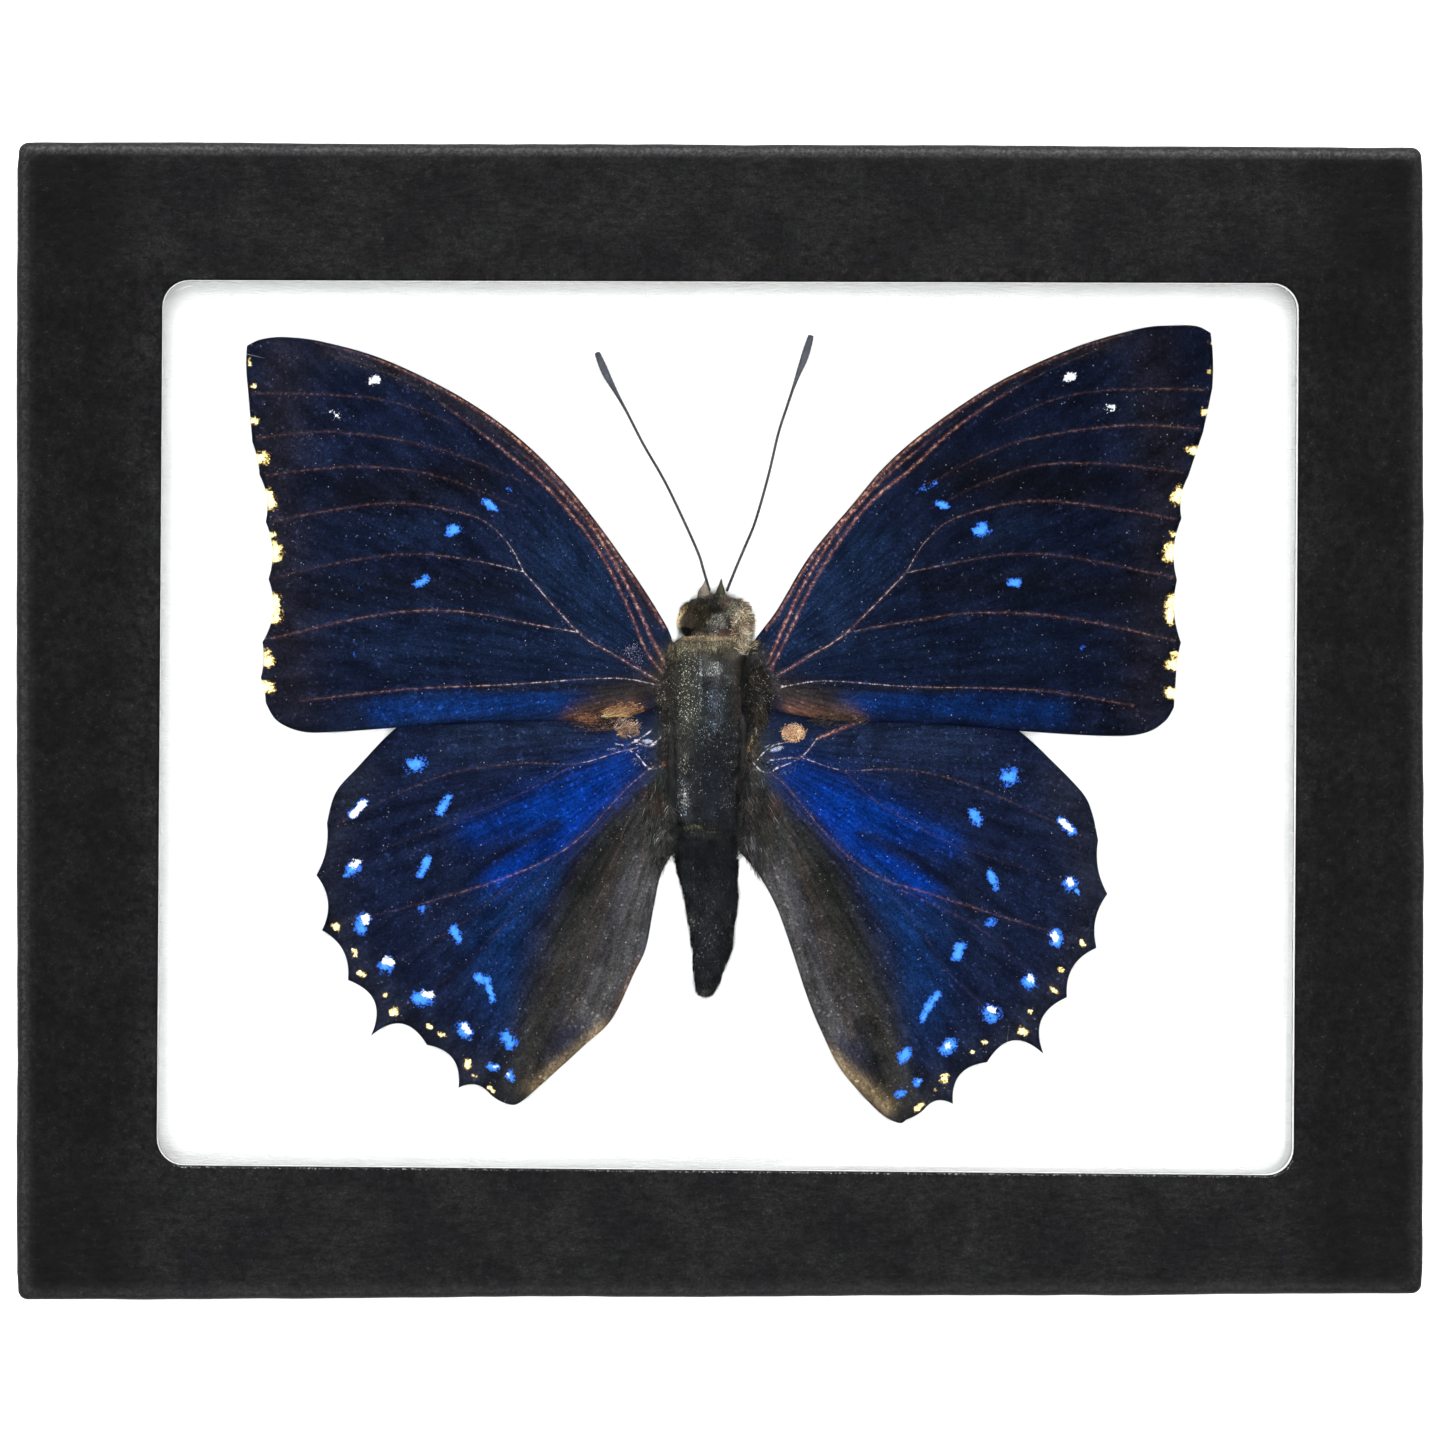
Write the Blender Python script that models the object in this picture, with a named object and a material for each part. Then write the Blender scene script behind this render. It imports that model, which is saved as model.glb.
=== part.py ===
"""Framed butterfly specimen: a paper-covered box with a glazed lid, batting and one spread butterfly.

Metres, +Z up. The box lies on its back, origin under its middle, the insect's head toward +Y.
Lengths below are in millimetres and turned into metres when the meshes are made.
"""
import math

import bmesh
import bpy
from mathutils import Vector, geometry

MM = 0.001

# Box, outside sizes
BOX_WIDTH = 127.0
BOX_HEIGHT = 104.0
BOX_DEPTH = 19.0
GAP = 0.3

# Lid
LID_BOARD = 1.6
LID_SKIRT = 1.3
LID_FOLD_RADIUS = 0.8
LID_CORNER_RADIUS = 1.2
LID_TABLE_GAP = 1.0
WINDOW_CORNERS = ((52.05, 39.54), (-50.36, 39.54), (-50.91, -39.86), (51.58, -41.11))
WINDOW_CORNER_RADIUS = 2.4
WINDOW_EDGE_RADIUS = 0.4
CORNER_STEPS = 6
FOLD_STEPS = 4

# Glass, tray and batting
GLASS_THICKNESS = 1.8
TRAY_WALL = 1.6
TRAY_BASE = 1.6
TRAY_CORNER_RADIUS = 1.0
TRAY_EDGE = 0.3
FILL_TOP = 13.7
TROUGH_DEPTH = 6.0
TROUGH_CENTRE = (-1.0, -6.3)
TROUGH_RADII = (5.8, 20.4)
TROUGH_POWER = 2.6
TROUGH_STEEPNESS = 6
TROUGH_CELL = 1.2

# Heights inside the box
GLASS_TOP = BOX_DEPTH - LID_BOARD - GAP
GLASS_BOTTOM = GLASS_TOP - GLASS_THICKNESS
FILL_BOTTOM = TRAY_BASE + GAP
TRAY_TOP = GLASS_BOTTOM - GAP
HINDWING_LEVEL = 13.95
FOREWING_LEVEL = 14.45
WING_THICKNESS = 0.2
VEIN_HEIGHT = 0.07
WING_RIPPLE = 0.1
WING_CELL = 2.9

BODY_SIDES = 20
BODY_ROUNDNESS = 3.0


# Small geometry helpers

def spline(points, steps=4):
    """Points of a smooth curve through the given points, the last one left out."""
    out = []
    last = len(points) - 1
    for i in range(last):
        p0 = points[max(i - 1, 0)]
        p1, p2 = points[i], points[i + 1]
        p3 = points[min(i + 2, last)]
        for k in range(steps):
            t = k / steps
            row = []
            for a, b, c, d in zip(p0, p1, p2, p3):
                bend = (2 * a - 5 * b + 4 * c - d) * t * t + (3 * b - a - 3 * c + d) * t ** 3
                row.append(0.5 * (2 * b + (c - a) * t + bend))
            out.append(tuple(row))
    return out


def scallops(teeth, steps=6):
    """Arcs from tooth to tooth. A tooth is (x, y, depth of the hollow that follows it)."""
    out = []
    for (x0, y0, depth), (x1, y1, _) in zip(teeth, teeth[1:]):
        chord = math.hypot(x1 - x0, y1 - y0)
        nx, ny = -(y1 - y0) / chord, (x1 - x0) / chord
        for k in range(steps):
            t = k / steps
            sag = depth * 4 * t * (1 - t)
            out.append((x0 + (x1 - x0) * t + nx * sag, y0 + (y1 - y0) * t + ny * sag))
    return out


def rounded_polygon(corners, radius, steps=CORNER_STEPS):
    """A polygon, counter-clockwise, with each corner rounded by the same radius."""
    out = []
    count = len(corners)
    for i, corner in enumerate(corners):
        p = Vector(corner)
        before = (Vector(corners[i - 1]) - p).normalized()
        after = (Vector(corners[(i + 1) % count]) - p).normalized()
        half = before.angle(after) / 2
        centre = p + (before + after).normalized() * radius / math.sin(half)
        start = p + before * radius / math.tan(half) - centre
        sweep = math.pi - 2 * half
        for k in range(steps + 1):
            a = sweep * k / steps
            turned = (start.x * math.cos(a) - start.y * math.sin(a),
                      start.x * math.sin(a) + start.y * math.cos(a))
            out.append((centre.x + turned[0], centre.y + turned[1]))
    return out


def rectangle(width, height, radius, steps=CORNER_STEPS):
    x, y = width / 2, height / 2
    return rounded_polygon(((x, y), (-x, y), (-x, -y), (x, -y)), radius, steps)


def distance_to_line(point, line):
    """Shortest distance from a point to a line of several points."""
    best = 1e9
    for a, b in zip(line, line[1:]):
        ab = (b[0] - a[0], b[1] - a[1])
        ap = (point[0] - a[0], point[1] - a[1])
        t = (ap[0] * ab[0] + ap[1] * ab[1]) / max(ab[0] ** 2 + ab[1] ** 2, 1e-12)
        t = min(max(t, 0.0), 1.0)
        best = min(best, math.hypot(ap[0] - ab[0] * t, ap[1] - ab[1] * t))
    return best


def inside(point, outline):
    x, y = point
    hit = False
    for (x0, y0), (x1, y1) in zip(outline, outline[1:] + outline[:1]):
        if (y0 > y) != (y1 > y) and x < (x1 - x0) * (y - y0) / (y1 - y0) + x0:
            hit = not hit
    return hit


# Mesh helpers

def add_object(name, verts, faces, material, smooth=False):
    """One closed mesh object, faces out."""
    mesh = bpy.data.meshes.new(name)
    mesh.from_pydata([(x * MM, y * MM, z * MM) for x, y, z in verts], [], faces)
    bm = bmesh.new()
    bm.from_mesh(mesh)
    bmesh.ops.recalc_face_normals(bm, faces=bm.faces)
    bm.to_mesh(mesh)
    bm.free()
    mesh.polygons.foreach_set("use_smooth", [smooth] * len(mesh.polygons))
    mesh.materials.append(material)
    obj = bpy.data.objects.new(name, mesh)
    bpy.context.scene.collection.objects.link(obj)
    return obj


def skin_rings(rings, closed=False):
    """Quads between rings of equal length; the ends are capped unless the rings close on themselves."""
    count = len(rings[0])
    verts = [p for ring in rings for p in ring]
    faces = []
    spans = len(rings) if closed else len(rings) - 1
    for i in range(spans):
        a, b = i * count, (i + 1) % len(rings) * count
        for k in range(count):
            n = (k + 1) % count
            faces.append((a + k, a + n, b + n, b + k))
    if not closed:
        faces.append(tuple(range(count)))
        faces.append(tuple(range((len(rings) - 1) * count, len(rings) * count)))
    return verts, faces


def flat_ring(outline, z):
    return [(x, y, z) for x, y in outline]


def body_ring(y, centre, half_width, middle, half_height, power=BODY_ROUNDNESS):
    """A rounded cross-section of the body, upright at y."""
    ring = []
    for k in range(BODY_SIDES):
        a = 2 * math.pi * k / BODY_SIDES
        c, s = math.cos(a), math.sin(a)
        across = math.copysign(abs(c) ** (2 / power), c) * half_width
        up = math.copysign(abs(s) ** (2 / power), s) * half_height
        ring.append((centre + across, y, middle + up))
    return ring


def tube(path, radii, sides=10):
    """Rings round a path that runs mostly along Y, with a radius at each point."""
    rings = []
    for i, (point, radius) in enumerate(zip(path, radii)):
        ahead = Vector(path[min(i + 1, len(path) - 1)])
        behind = Vector(path[max(i - 1, 0)])
        along = (ahead - behind).normalized()
        side = along.cross(Vector((0, 0, 1))).normalized()
        over = side.cross(along)
        centre = Vector(point)
        ring = []
        for k in range(sides):
            a = 2 * math.pi * k / sides
            ring.append(tuple(centre + (side * math.cos(a) + over * math.sin(a)) * radius))
        rings.append(ring)
    return rings


def make_material(name, colour, roughness, metallic=0.0):
    mat = bpy.data.materials.new(name)
    mat.use_nodes = True
    shader = mat.node_tree.nodes["Principled BSDF"]
    shader.inputs["Base Color"].default_value = (*colour, 1.0)
    shader.inputs["Roughness"].default_value = roughness
    shader.inputs["Metallic"].default_value = metallic
    mat.diffuse_color = (*colour, 1.0)
    return mat


# Box

def build_lid(material):
    """Board with the window and skirt: one closed band of rings, from the window's edge round and back."""
    top = BOX_DEPTH
    board_under = BOX_DEPTH - LID_BOARD
    outer = []
    for k in range(FOLD_STEPS + 1):
        a = math.pi / 2 * k / FOLD_STEPS
        inset = LID_FOLD_RADIUS * (1 - math.sin(a))
        drop = LID_FOLD_RADIUS * (1 - math.cos(a))
        width, height = BOX_WIDTH - 2 * inset, BOX_HEIGHT - 2 * inset
        outer.append(flat_ring(rectangle(width, height, LID_CORNER_RADIUS), top - drop))
    skirt_in = rectangle(BOX_WIDTH - 2 * LID_SKIRT, BOX_HEIGHT - 2 * LID_SKIRT, GAP)
    outer.append(flat_ring(rectangle(BOX_WIDTH, BOX_HEIGHT, LID_CORNER_RADIUS), LID_TABLE_GAP))
    outer.append(flat_ring(skirt_in, LID_TABLE_GAP))
    outer.append(flat_ring(skirt_in, board_under))
    rings = list(outer)
    window = rounded_polygon(WINDOW_CORNERS, WINDOW_CORNER_RADIUS)
    rings.append(flat_ring(window, board_under))
    for k in range(FOLD_STEPS + 1):
        a = math.pi / 2 * k / FOLD_STEPS
        grow = WINDOW_EDGE_RADIUS * (1 - math.cos(a))
        rise = WINDOW_EDGE_RADIUS * math.sin(a)
        ring = rounded_polygon(grown(WINDOW_CORNERS, grow), WINDOW_CORNER_RADIUS + grow)
        rings.append(flat_ring(ring, top - WINDOW_EDGE_RADIUS + rise))
    verts, faces = skin_rings(rings, closed=True)
    return add_object("lid", verts, faces, material)


def grown(corners, amount):
    """Corners of a four-sided shape about the middle, moved out by the same amount on each side."""
    return [(x + math.copysign(amount, x), y + math.copysign(amount, y)) for x, y in corners]


def build_tray(material):
    width = BOX_WIDTH - 2 * (LID_SKIRT + GAP)
    height = BOX_HEIGHT - 2 * (LID_SKIRT + GAP)
    outer = rectangle(width, height, TRAY_CORNER_RADIUS)
    eased = rectangle(width - 2 * TRAY_EDGE, height - 2 * TRAY_EDGE, TRAY_CORNER_RADIUS)
    inner = rectangle(width - 2 * TRAY_WALL, height - 2 * TRAY_WALL, GAP)
    rings = [flat_ring(eased, 0.0), flat_ring(outer, TRAY_EDGE), flat_ring(outer, TRAY_TOP - TRAY_EDGE),
             flat_ring(eased, TRAY_TOP), flat_ring(inner, TRAY_TOP), flat_ring(inner, TRAY_BASE)]
    verts, faces = skin_rings(rings)
    return add_object("tray", verts, faces, material)


def build_glass(material):
    width = BOX_WIDTH - 2 * (LID_SKIRT + GAP)
    height = BOX_HEIGHT - 2 * (LID_SKIRT + GAP)
    outline = rectangle(width, height, GAP, steps=1)
    verts, faces = skin_rings([flat_ring(outline, GLASS_BOTTOM), flat_ring(outline, GLASS_TOP)])
    return add_object("glass_pane", verts, faces, material)


def fill_height(x, y):
    """Top of the batting: flat, with a hollow that the body lies in."""
    u = abs(x - TROUGH_CENTRE[0]) / TROUGH_RADII[0]
    v = abs(y - TROUGH_CENTRE[1]) / TROUGH_RADII[1]
    r = (u ** TROUGH_POWER + v ** TROUGH_POWER) ** (1 / TROUGH_POWER)
    if r >= 1:
        return FILL_TOP
    return FILL_TOP - TROUGH_DEPTH * math.sqrt(1 - r ** TROUGH_STEEPNESS)


def grid_lines(low, high, start, end, fine, coarse):
    """Grid lines from start to end, fine between low and high and coarse outside."""
    lines = []
    inner = round((high - low) / fine)
    for a, b, count in ((start, low, coarse), (low, high, inner), (high, end, coarse)):
        lines += [a + (b - a) * k / count for k in range(count)]
    return lines + [end]


def build_fill(material):
    half_x = BOX_WIDTH / 2 - LID_SKIRT - TRAY_WALL - 2 * GAP
    half_y = BOX_HEIGHT / 2 - LID_SKIRT - TRAY_WALL - 2 * GAP
    cx, cy = TROUGH_CENTRE
    rx, ry = TROUGH_RADII
    xs = grid_lines(cx - rx, cx + rx, -half_x, half_x, TROUGH_CELL, 3)
    ys = grid_lines(cy - ry, cy + ry, -half_y, half_y, 2 * TROUGH_CELL, 2)
    nx, ny = len(xs), len(ys)
    verts = [(x, y, fill_height(x, y)) for y in ys for x in xs]
    faces = []
    for j in range(ny - 1):
        for i in range(nx - 1):
            a = j * nx + i
            faces.append((a, a + 1, a + nx + 1, a + nx))
    border = list(range(nx)) + [j * nx + nx - 1 for j in range(1, ny)]
    border += [(ny - 1) * nx + i for i in range(nx - 2, -1, -1)] + [j * nx for j in range(ny - 2, 0, -1)]
    under = len(verts)
    verts += [(verts[i][0], verts[i][1], FILL_BOTTOM) for i in border]
    count = len(border)
    for k in range(count):
        n = (k + 1) % count
        faces.append((border[k], border[n], under + n, under + k))
    faces.append(tuple(range(under, under + count)))
    return add_object("fill", verts, faces, material)


# Wings: outlines and veins as seen from above. The margins carry teeth at the ends of the veins.

FOREWING_LEFT_COSTA = ((-4.55, 1.4), (-4.55, 4.4), (-4.5, 7.2), (-6.0, 10.2), (-9.0, 14.7), (-12.0, 18.8),
                       (-15.0, 22.35), (-19.0, 26.1), (-24.0, 29.5), (-30.5, 32.65), (-36.0, 34.25),
                       (-39.5, 34.7), (-41.7, 34.5), (-43.0, 33.9))
FOREWING_LEFT_MARGIN = ((-43.0, 33.9, -0.1), (-42.9, 30.0, 0.0), (-42.5, 25.2, 0.12), (-41.85, 22.2, 0.4),
                        (-41.3, 18.0, 0.5), (-41.05, 12.8, 0.7), (-41.6, 7.1, 0.2), (-41.75, 3.9, 0.1),
                        (-41.3, 1.6, 0.0))
FOREWING_LEFT_INNER = ((-41.3, 1.6), (-40.3, 0.0), (-38.2, -0.95), (-35.5, -1.05), (-29.6, -0.65),
                       (-22.0, -0.15), (-15.0, -0.05), (-9.0, 0.4), (-4.55, 1.4))
FOREWING_LEFT_VEINS = (
    ((-5.3, 5.3), (-6.6, 7.9), (-8.5, 12.0), (-10.9, 16.2), (-12.9, 18.9), (-17.2, 23.4), (-22.0, 27.0)),
    ((-5.5, 4.5), (-6.9, 6.3), (-8.4, 10.0), (-11.2, 15.4), (-15.2, 20.4), (-19.6, 24.3), (-24.5, 28.1),
     (-28.2, 30.5), (-34.5, 33.1)),
    ((-5.9, 3.7), (-10.0, 6.1), (-13.0, 8.0), (-18.0, 13.5), (-19.6, 16.3), (-22.5, 18.5), (-29.0, 19.7),
     (-35.0, 19.1), (-40.6, 18.0)),
    ((-18.0, 13.5), (-22.5, 14.5), (-28.0, 15.1), (-34.0, 14.4), (-40.3, 13.0)),
    ((-13.0, 8.0), (-17.0, 8.7), (-24.0, 9.9), (-31.0, 9.6), (-41.0, 7.4)),
    ((-5.7, 3.2), (-10.0, 3.85), (-19.0, 3.3), (-29.0, 2.8), (-38.0, 1.8)),
    ((-17.5, 21.4), (-26.0, 24.7), (-35.0, 26.1), (-41.8, 25.6)),
    ((-18.9, 19.5), (-26.0, 22.2), (-33.0, 23.0), (-41.2, 22.2)),
    ((-24.0, 26.7), (-30.0, 28.9), (-36.0, 29.5), (-42.2, 29.6)),
)

FOREWING_RIGHT_COSTA = ((2.4, 1.4), (2.4, 4.2), (2.7, 6.8), (5.0, 10.05), (8.0, 15.0), (12.0, 19.8),
                        (15.0, 23.3), (19.0, 26.7), (25.0, 30.7), (32.0, 33.9), (38.0, 35.65),
                        (41.0, 35.95), (43.2, 35.9), (44.5, 35.3))
FOREWING_RIGHT_MARGIN = ((44.5, 35.3, 0.15), (44.65, 30.2, 0.0), (43.85, 26.4, 0.0), (42.45, 22.2, -0.35),
                         (41.85, 18.4, -0.5), (41.45, 12.8, -0.45), (41.8, 7.1, -0.1),
                         (41.35, 4.2, 0.0), (41.15, 1.2, 0.0))
FOREWING_RIGHT_INNER = ((41.15, 1.2), (40.3, -0.1), (38.4, -1.15), (35.0, -1.4), (27.1, -0.95),
                        (20.0, -0.35), (13.0, -0.1), (8.0, 0.3), (2.4, 1.4))
FOREWING_RIGHT_VEINS = (
    ((4.2, 5.3), (5.4, 8.1), (7.5, 12.5), (10.6, 17.4), (14.0, 21.3), (18.5, 25.2), (22.5, 28.1)),
    ((4.6, 5.0), (6.3, 8.4), (8.8, 13.4), (13.0, 19.3), (17.2, 22.9), (21.5, 26.8), (27.5, 30.7),
     (34.5, 33.9)),
    ((5.2, 4.2), (8.0, 5.9), (11.3, 8.0), (16.7, 13.4), (18.6, 16.4), (21.5, 18.5), (28.0, 19.95),
     (35.0, 19.4), (41.1, 18.4)),
    ((16.7, 13.4), (20.5, 14.2), (26.0, 15.1), (31.5, 14.9), (40.7, 13.1)),
    ((11.3, 8.0), (17.0, 9.0), (23.0, 9.8), (31.0, 9.4), (41.2, 7.3)),
    ((5.6, 3.1), (9.5, 3.6), (17.0, 3.1), (28.5, 2.75), (37.3, 1.4)),
    ((18.8, 21.6), (26.5, 25.2), (36.0, 26.8), (43.1, 26.6)),
    ((19.0, 19.3), (27.0, 22.8), (34.0, 23.4), (41.7, 22.6)),
    ((25.0, 27.0), (31.0, 29.4), (37.0, 30.15), (43.9, 30.1)),
)

HINDWING_LEFT_COSTA = ((-4.45, -12.0), (-4.55, -8.0), (-4.75, -5.0), (-5.0, -1.5), (-5.1, 1.2),
                       (-8.0, 2.9), (-13.0, 3.1), (-20.0, 2.8), (-26.0, 1.5), (-29.6, -0.7),
                       (-33.0, -4.2), (-35.0, -6.5), (-35.8, -9.3))
HINDWING_LEFT_MARGIN = ((-35.8, -9.3, 0.4), (-36.75, -14.0, 0.8), (-36.25, -19.0, 0.85),
                        (-33.9, -23.5, 1.5), (-31.85, -28.6, 1.55), (-26.75, -29.4, 1.15),
                        (-23.9, -33.3, 0.6), (-21.0, -33.9, -0.1), (-19.4, -34.8, 0.0))
HINDWING_LEFT_INNER = ((-19.4, -34.8), (-18.5, -34.75), (-16.8, -33.4), (-12.5, -29.5), (-10.0, -27.1),
                       (-8.0, -23.0), (-6.9, -20.6), (-6.2, -17.0), (-5.55, -14.0), (-4.45, -12.0))
HINDWING_LEFT_VEINS = (
    ((-6.2, -2.2), (-9.2, -2.8), (-13.2, -3.9), (-19.0, -3.9), (-26.0, -5.2), (-34.6, -9.2)),
    ((-6.0, -4.0), (-8.6, -6.1), (-13.2, -10.9), (-18.0, -13.6), (-25.5, -16.1), (-35.4, -18.6)),
    ((-13.2, -3.9), (-19.0, -7.0), (-27.0, -10.2), (-36.0, -13.8)),
    ((-18.0, -13.6), (-23.0, -18.0), (-28.5, -21.2), (-33.1, -23.1)),
    ((-14.8, -11.9), (-19.0, -17.6), (-24.2, -22.8), (-30.9, -27.6)),
    ((-12.5, -12.6), (-16.6, -18.6), (-21.5, -25.0), (-26.4, -28.9)),
    ((-8.2, -8.0), (-11.6, -17.0), (-16.6, -26.0), (-23.5, -32.5)),
    ((-6.8, -9.5), (-8.2, -16.0), (-11.6, -23.0), (-16.2, -30.0)),
)

HINDWING_RIGHT_COSTA = ((1.7, -12.0), (1.7, -8.5), (1.95, -5.5), (2.4, -1.5), (2.6, 1.2), (6.0, 2.7),
                        (11.0, 3.0), (18.0, 2.6), (23.5, 1.3), (27.1, -0.95), (30.0, -3.6),
                        (32.8, -6.5), (33.7, -8.3), (34.3, -10.9))
HINDWING_RIGHT_MARGIN = ((34.3, -10.9, -0.45), (35.15, -15.8, -0.6), (34.15, -20.7, -0.95),
                         (31.45, -25.2, -1.4), (29.35, -30.4, -1.65), (24.15, -31.1, -1.2),
                         (21.05, -34.9, -0.6), (18.4, -35.4, 0.1), (16.8, -36.3, 0.0))
HINDWING_RIGHT_INNER = ((16.8, -36.3), (16.1, -36.6), (14.2, -35.5), (10.9, -31.8), (9.0, -28.1),
                        (7.7, -24.9), (6.3, -20.6), (5.0, -17.0), (3.3, -13.9), (1.7, -12.0))
HINDWING_RIGHT_VEINS = (
    ((4.6, -3.6), (7.2, -3.4), (11.0, -4.5), (17.0, -4.5), (23.5, -6.2), (33.4, -10.7)),
    ((4.0, -4.9), (5.6, -5.7), (10.2, -11.1), (14.0, -14.1), (19.4, -15.9), (33.4, -20.3)),
    ((11.0, -4.5), (15.0, -8.0), (22.0, -11.6), (34.4, -15.6)),
    ((16.3, -15.4), (22.8, -18.5), (27.0, -21.8), (30.8, -24.8)),
    ((14.0, -14.1), (17.8, -18.6), (21.6, -24.0), (28.4, -29.4)),
    ((11.5, -13.5), (14.8, -19.5), (18.8, -26.0), (23.8, -30.6)),
    ((5.4, -8.2), (8.4, -17.0), (13.6, -27.0), (20.6, -34.2)),
    ((3.9, -9.5), (5.9, -16.0), (8.8, -23.0), (13.2, -31.6)),
)


def wing_outline(costa, margin, inner):
    return spline(costa, 2) + scallops(margin, 5) + spline(inner, 3)


def ripple(x, y):
    """Slow waves that the dried wings keep; the same for all four, so that none meets another."""
    return WING_RIPPLE * math.sin(x / 5.0 + 0.6) * math.cos(y / 6.0)


def wing_points(outline, veins):
    """Points inside the wing, set in rows and kept off its edge and veins."""
    out = []
    xs, ys = [p[0] for p in outline], [p[1] for p in outline]
    rim = outline + outline[:1]
    y = min(ys)
    row = 0
    while y < max(ys):
        x = min(xs) + (row % 2) * WING_CELL / 2
        while x < max(xs):
            clear = min(distance_to_line((x, y), line) for line in [rim, *veins])
            if inside((x, y), outline) and clear > WING_CELL * 0.35:
                out.append((x, y))
            x += WING_CELL
        y += WING_CELL * 0.866
        row += 1
    return out


def build_wing(name, outline, veins, level, material):
    """A thin plate with raised veins: a triangulated top, the same triangles below, and a rim."""
    veins = [spline(v, 2) + [v[-1]] for v in veins]
    points = [Vector(p) for p in outline]
    edges = []
    for vein in veins:
        start = len(points)
        points += [Vector(p) for p in vein]
        edges += [(start + k, start + k + 1) for k in range(len(vein) - 1)]
    points += [Vector(p) for p in wing_points(outline, veins)]
    rim = list(range(len(outline)))
    flat, _, triangles, _, _, _ = geometry.delaunay_2d_cdt(points, edges, [rim], 1, 1e-4)
    top = []
    for p in flat:
        on_vein = min(distance_to_line(p, v) for v in veins) < 0.02
        ridge = VEIN_HEIGHT if on_vein else 0.0
        top.append((p.x, p.y, level + WING_THICKNESS + ridge + ripple(p.x, p.y)))
    under = [(x, y, level + ripple(x, y)) for x, y, _ in top]
    count = len(top)
    faces = [tuple(t) for t in triangles]
    faces += [tuple(count + i for i in reversed(t)) for t in triangles]
    used = {}
    for t in triangles:
        for a, b in zip(t, (*t[1:], t[0])):
            used[(a, b)] = True
    for a, b in used:
        if (b, a) not in used:
            faces.append((b, a, count + a, count + b))
    return add_object(name, top + under, faces, material)


def build_wings(forewing, hindwing):
    sides = (
        ("left", FOREWING_LEFT_COSTA, FOREWING_LEFT_MARGIN, FOREWING_LEFT_INNER, FOREWING_LEFT_VEINS,
         HINDWING_LEFT_COSTA, HINDWING_LEFT_MARGIN, HINDWING_LEFT_INNER, HINDWING_LEFT_VEINS),
        ("right", FOREWING_RIGHT_COSTA, FOREWING_RIGHT_MARGIN, FOREWING_RIGHT_INNER, FOREWING_RIGHT_VEINS,
         HINDWING_RIGHT_COSTA, HINDWING_RIGHT_MARGIN, HINDWING_RIGHT_INNER, HINDWING_RIGHT_VEINS),
    )
    for side, fc, fm, fi, fv, hc, hm, hi, hv in sides:
        build_wing("forewing_" + side, wing_outline(fc, fm, fi), fv, FOREWING_LEVEL, forewing)
        build_wing("hindwing_" + side, wing_outline(hc, hm, hi), hv, HINDWING_LEVEL, hindwing)


# Body: rows of y, centre x, half width, middle z, half height

THORAX = ((7.5, -1.2, 2.2, 12.3, 1.5), (7.1, -1.2, 3.0, 12.2, 2.2), (6.0, -1.2, 3.5, 12.1, 2.6),
          (4.0, -1.4, 3.6, 12.0, 2.9), (1.0, -1.4, 3.6, 12.0, 2.95), (-2.5, -1.4, 3.5, 12.0, 2.9),
          (-6.0, -1.5, 3.1, 12.2, 2.6), (-8.6, -1.6, 2.7, 12.5, 2.2), (-9.75, -1.6, 2.1, 12.6, 1.6))
ABDOMEN_START = -10.0
ABDOMEN_END = -25.0
ABDOMEN_SEGMENTS = 7
ABDOMEN_SHAPE = ((-1.4, 2.95, 12.5, 2.2), (-1.4, 2.95, 12.6, 2.2), (-1.2, 2.65, 12.8, 2.0),
                 (-0.9, 2.4, 13.0, 1.8), (-0.95, 2.05, 13.2, 1.6), (-0.85, 1.8, 13.4, 1.4),
                 (-1.25, 1.35, 13.6, 1.15), (-1.45, 0.85, 13.8, 0.7))
SEGMENT_STEP = 0.16
HEAD = ((7.75, -0.9, 2.0, 12.4, 1.6), (8.3, -0.9, 2.8, 12.5, 2.1), (9.2, -0.8, 2.9, 12.6, 2.2),
        (10.2, -0.7, 2.5, 12.7, 2.0), (11.1, -0.6, 1.6, 12.8, 1.4), (11.5, -0.6, 0.8, 12.8, 0.7))
EYES = ((-2.85, 9.5, 12.7), (1.15, 9.6, 12.7))
EYE_RADII = (1.35, 1.65, 1.7)
PALPS = (((-1.75, 10.9, 13.2), (-1.45, 12.8, 14.0), 0.6), ((-0.15, 10.9, 13.2), (-0.05, 12.9, 14.0), 0.5))
ANTENNA_LEFT = ((-1.1, 11.75, 13.9), (-1.65, 13.6, 14.1), (-2.15, 15.2, 14.2), (-3.4, 18.0, 14.35),
                (-5.2, 21.7, 14.5), (-7.1, 25.0, 14.5), (-8.65, 28.0, 14.5), (-9.75, 30.0, 14.5),
                (-10.55, 31.5, 14.45), (-11.35, 33.4, 14.4))
ANTENNA_RIGHT = ((0.45, 11.75, 13.9), (1.3, 13.9, 14.1), (2.1, 15.8, 14.2), (3.0, 18.0, 14.35),
                 (4.15, 22.0, 14.5), (5.1, 26.0, 14.5), (5.9, 28.5, 14.5), (6.75, 31.0, 14.5),
                 (7.5, 33.0, 14.45), (8.1, 35.0, 14.4))
STALK_RADIUS = 0.13
CLUB_RADIUS = 0.36


def build_thorax(material):
    verts, faces = skin_rings([body_ring(*row) for row in THORAX])
    return add_object("thorax", verts, faces, material, smooth=True)


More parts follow.
